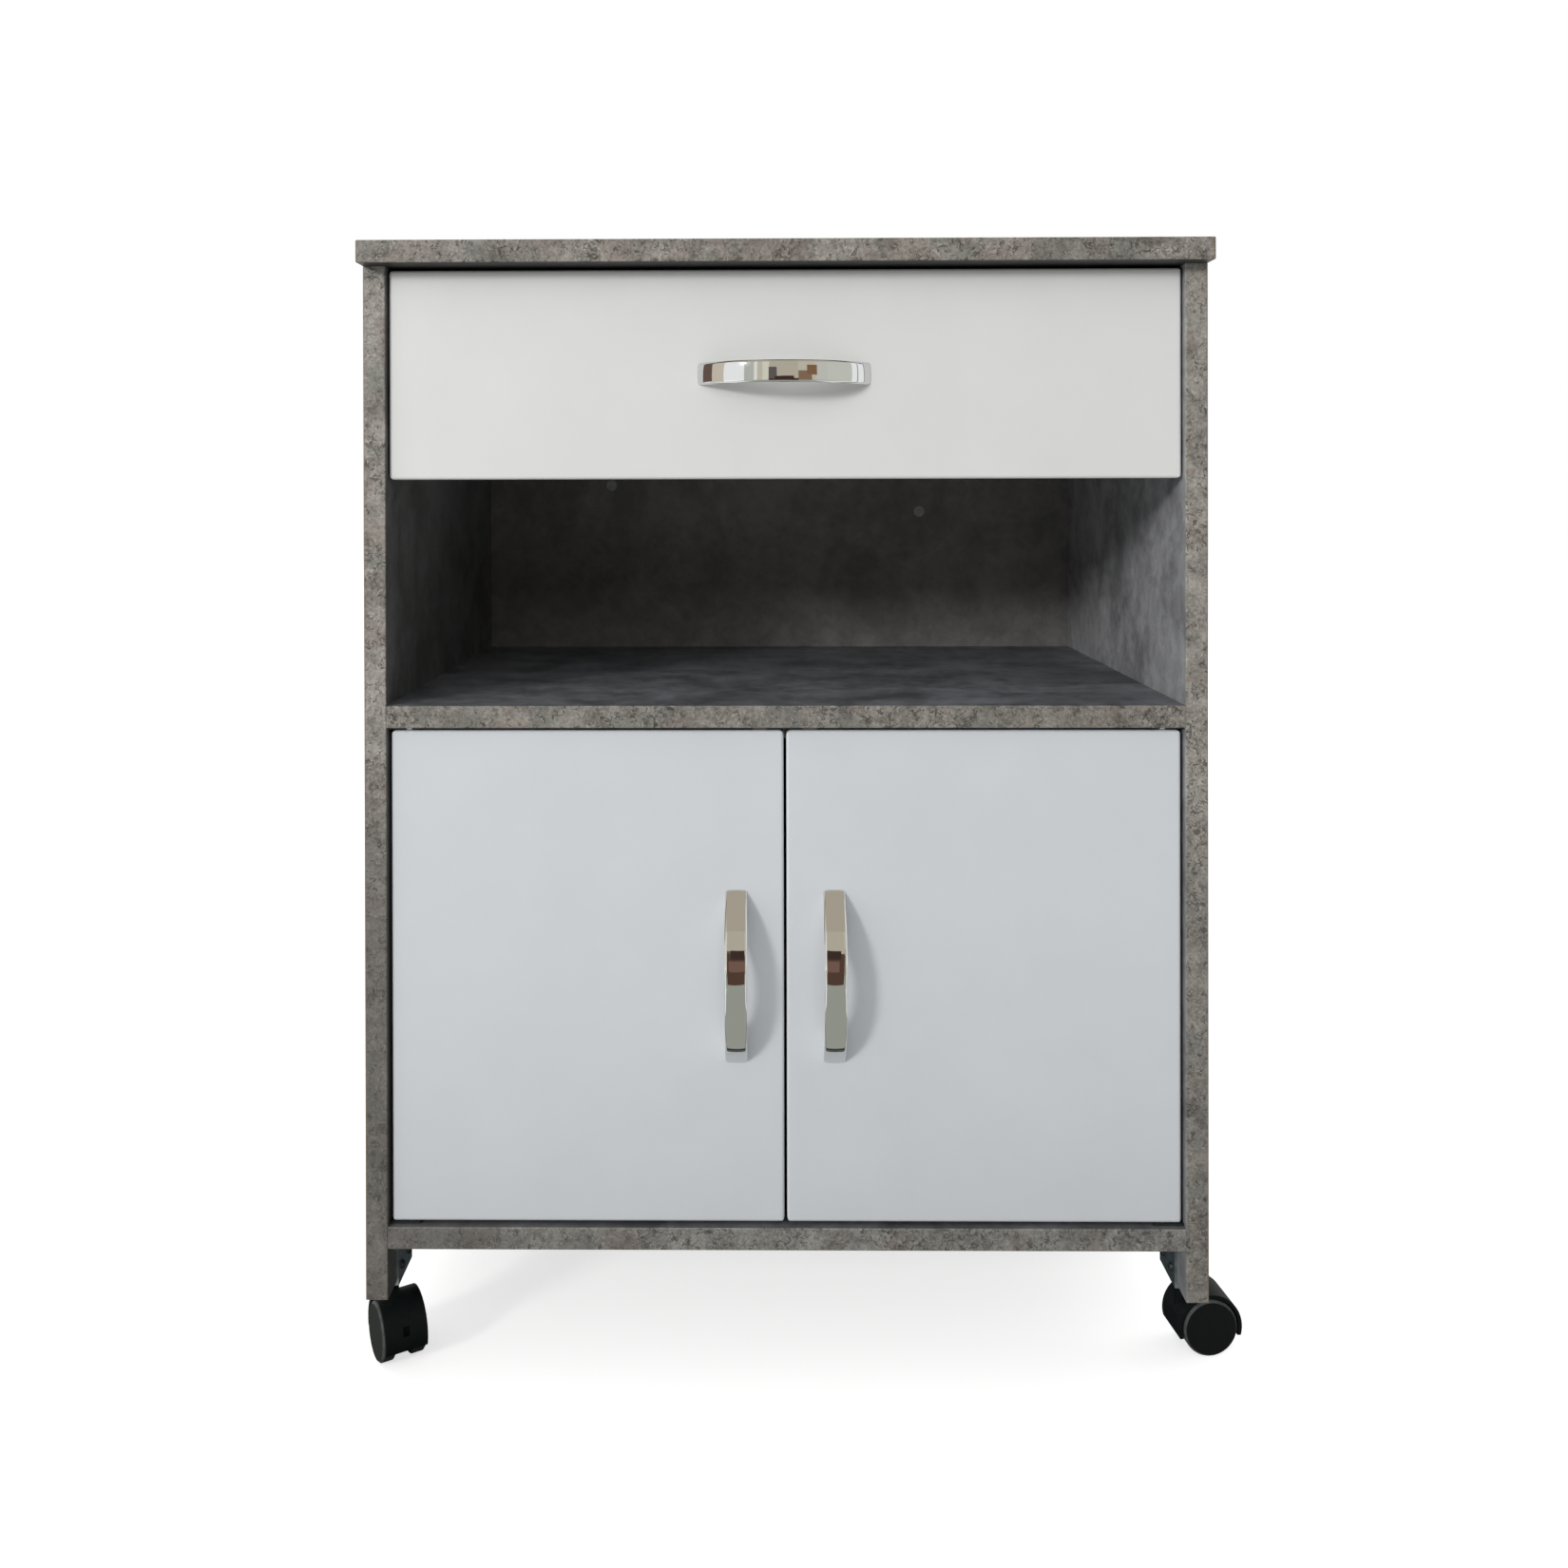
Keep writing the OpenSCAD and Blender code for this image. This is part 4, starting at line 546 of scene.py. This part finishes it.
def wall(name, colour, start, end, low, high, to_diffuse=False, strength=1.0):
    """An upright card over the floor line from start to end, between two heights."""
    glowing(name, colour, [(*start, low), (*end, low), (*end, high), (*start, high)], to_diffuse,
            strength)


def slab(name, colour, x, y, z, to_diffuse=False, strength=1.0):
    """A level card over the ranges x and y at height z."""
    glowing(name, colour, [(x[0], y[0], z), (x[1], y[0], z), (x[1], y[1], z), (x[0], y[1], z)],
            to_diffuse, strength)


# flags keep the even fill from the front and from the right out of the niche. Soft boxes light
# the fronts, from above the front flag and from the left; the last two stand behind the fronts'
# plane and light only the right side and the back.
dark_flag, soft_box = "#1e1e1e", "#ffffff"
for name, colour, start, end, low, high, strength in (
        ("fill_flag", dark_flag, (-3.4, -3.3), (3.4, -3.3), 0.0, 1.5, 1.0),
        ("side_flag", dark_flag, (3.4, -3.3), (3.4, 0.0), 0.0, 3.7, 1.0),
        ("soft_box", soft_box, (-2.8, -3.3), (1.2, -3.3), 1.5, 3.7, 1.9),
        ("soft_box_flag", dark_flag, (1.2, -3.3), (3.4, -3.3), 1.5, 3.7, 1.0),
        ("left_soft_box", soft_box, (-2.7, -2.8), (-2.7, -0.7), 0.2, 1.5, 1.2),
        ("right_soft_box", soft_box, (2.6, 0.0), (2.6, 2.6), 0.0, 2.6, 2.6),
        ("rear_soft_box", soft_box, (2.4, 3.2), (-2.4, 3.2), 0.0, 2.6, 1.8)):
    wall(name, colour, start, end, low, high, to_diffuse=True, strength=strength)
# light that comes up from the floor in front of the stand
slab("floor_fill", soft_box, (-1.8, 2.6), (-2.6, -0.4), 0.0012, to_diffuse=True, strength=0.74)

# a plain furnished room, for the chrome and the sheen of the boards to reflect
for name, colour, x, y, z in (
        ("room_floor", "#a4a69b", (-2.5, 2.5), (-3.2, 0.9), 0.0006),
        ("room_floor_shade", "#3b4042", (-0.30, 0.30), (-0.19, 0.2), 0.0009),
        ("sunny_floor_left", "#fbfbf8", (-2.5, -0.42), (-0.95, 0.9), 0.0008),
        ("sunny_floor_right", "#eeeeea", (0.42, 2.5), (-0.95, 0.9), 0.0008),
        ("room_ceiling", "#b9b09f", (-2.5, 2.5), (-3.2, 0.9), 2.6)):
    slab(name, colour, x, y, z)
for name, colour, start, end, low, high in (
        ("left_wardrobe", "#6d5a50", (-2.40, 0.90), (-2.40, -0.65), 0.6, 2.6),
        ("left_white_chest", "#f4f4f1", (-2.40, 0.90), (-2.40, -0.65), 0.0, 0.6),
        ("left_wall", "#d6ccbb", (-2.40, -0.65), (-2.40, -1.35), 0.0, 2.6),
        ("left_window", "#ffffff", (-2.40, -1.35), (-2.40, -2.95), 0.45, 2.3),
        ("left_corner", "#c4c4bd", (-2.40, -2.95), (-1.80, -3.20), 0.0, 2.6),
        ("curtain", "#f2f0ea", (-1.80, -3.20), (-1.55, -3.20), 0.0, 2.6),
        ("front_wall_left", "#cfc9b8", (-1.55, -3.20), (-1.20, -3.20), 0.0, 2.6),
        ("pale_cupboard", "#e4e0cf", (-1.20, -3.20), (-0.80, -3.20), 0.0, 2.6),
        ("grey_chair", "#66615f", (-0.80, -3.10), (-0.35, -3.10), 0.0, 1.25),
        ("front_wall", "#c2baa8", (-0.80, -3.20), (0.75, -3.20), 0.0, 2.6),
        ("brown_chest", "#8f7360", (0.75, -3.10), (1.60, -3.10), 0.0, 1.0),
        ("brown_basket", "#8a684f", (1.25, -3.05), (1.95, -3.05), 0.75, 1.4),
        ("front_wall_right", "#cdc7b4", (0.75, -3.20), (1.95, -3.20), 0.0, 2.6),
        ("right_corner", "#cfcfc6", (1.95, -3.20), (2.40, -2.60), 0.0, 2.6),
        ("right_wall", "#d3d3ca", (2.40, -2.60), (2.40, -0.85), 0.0, 2.6),
        ("right_window", "#ffffff", (2.40, -0.85), (2.40, 0.90), 0.2, 2.4),
        ("right_sill", "#8d8f8c", (2.39, -0.55), (2.39, -0.50), 0.0, 2.6),
        ("armchair", "#5a443a", (-0.30, -1.30), (0.30, -1.30), 0.0, 0.62),
        ("armchair_back", "#43342f", (-0.17, -1.28), (0.20, -1.28), 0.50, 0.68),
        ("armchair_cushion", "#7d6155", (-0.22, -1.27), (0.16, -1.27), 0.26, 0.46)):
    wall(name, colour, start, end, low, high)

# the camera, 1.16 m in front of the stand's middle and 0.64 m up: nearly level and square to the
# front, with the frame moved down by its shift instead of a tilt
camera_data = bpy.data.cameras.new("camera")
camera_data.sensor_width = 36.0
camera_data.lens = 31.649
camera_data.shift_x = 0.02136
camera_data.shift_y = -0.18229
camera = bpy.data.objects.new("camera", camera_data)
bpy.context.scene.collection.objects.link(camera)
yaw, pitch, roll = np.radians([-0.574, 0.19, 0.126])
by_yaw = np.array([[np.cos(yaw), -np.sin(yaw), 0], [np.sin(yaw), np.cos(yaw), 0], [0, 0, 1]])
by_pitch = np.array([[1, 0, 0], [0, np.cos(pitch), -np.sin(pitch)],
                     [0, np.sin(pitch), np.cos(pitch)]])
by_roll = np.array([[np.cos(roll), 0, -np.sin(roll)], [0, 1, 0],
                    [np.sin(roll), 0, np.cos(roll)]])
right, ahead, up = by_roll @ by_pitch @ by_yaw
camera.matrix_world = (Matrix.Translation((-0.014314, -1.159183, 0.636298))
                       @ Matrix(np.stack([right, up, -ahead], 1).tolist()).to_4x4())
bpy.context.scene.camera = camera
bpy.context.scene.view_settings.view_transform = "Standard"

bpy.context.view_layer.update()
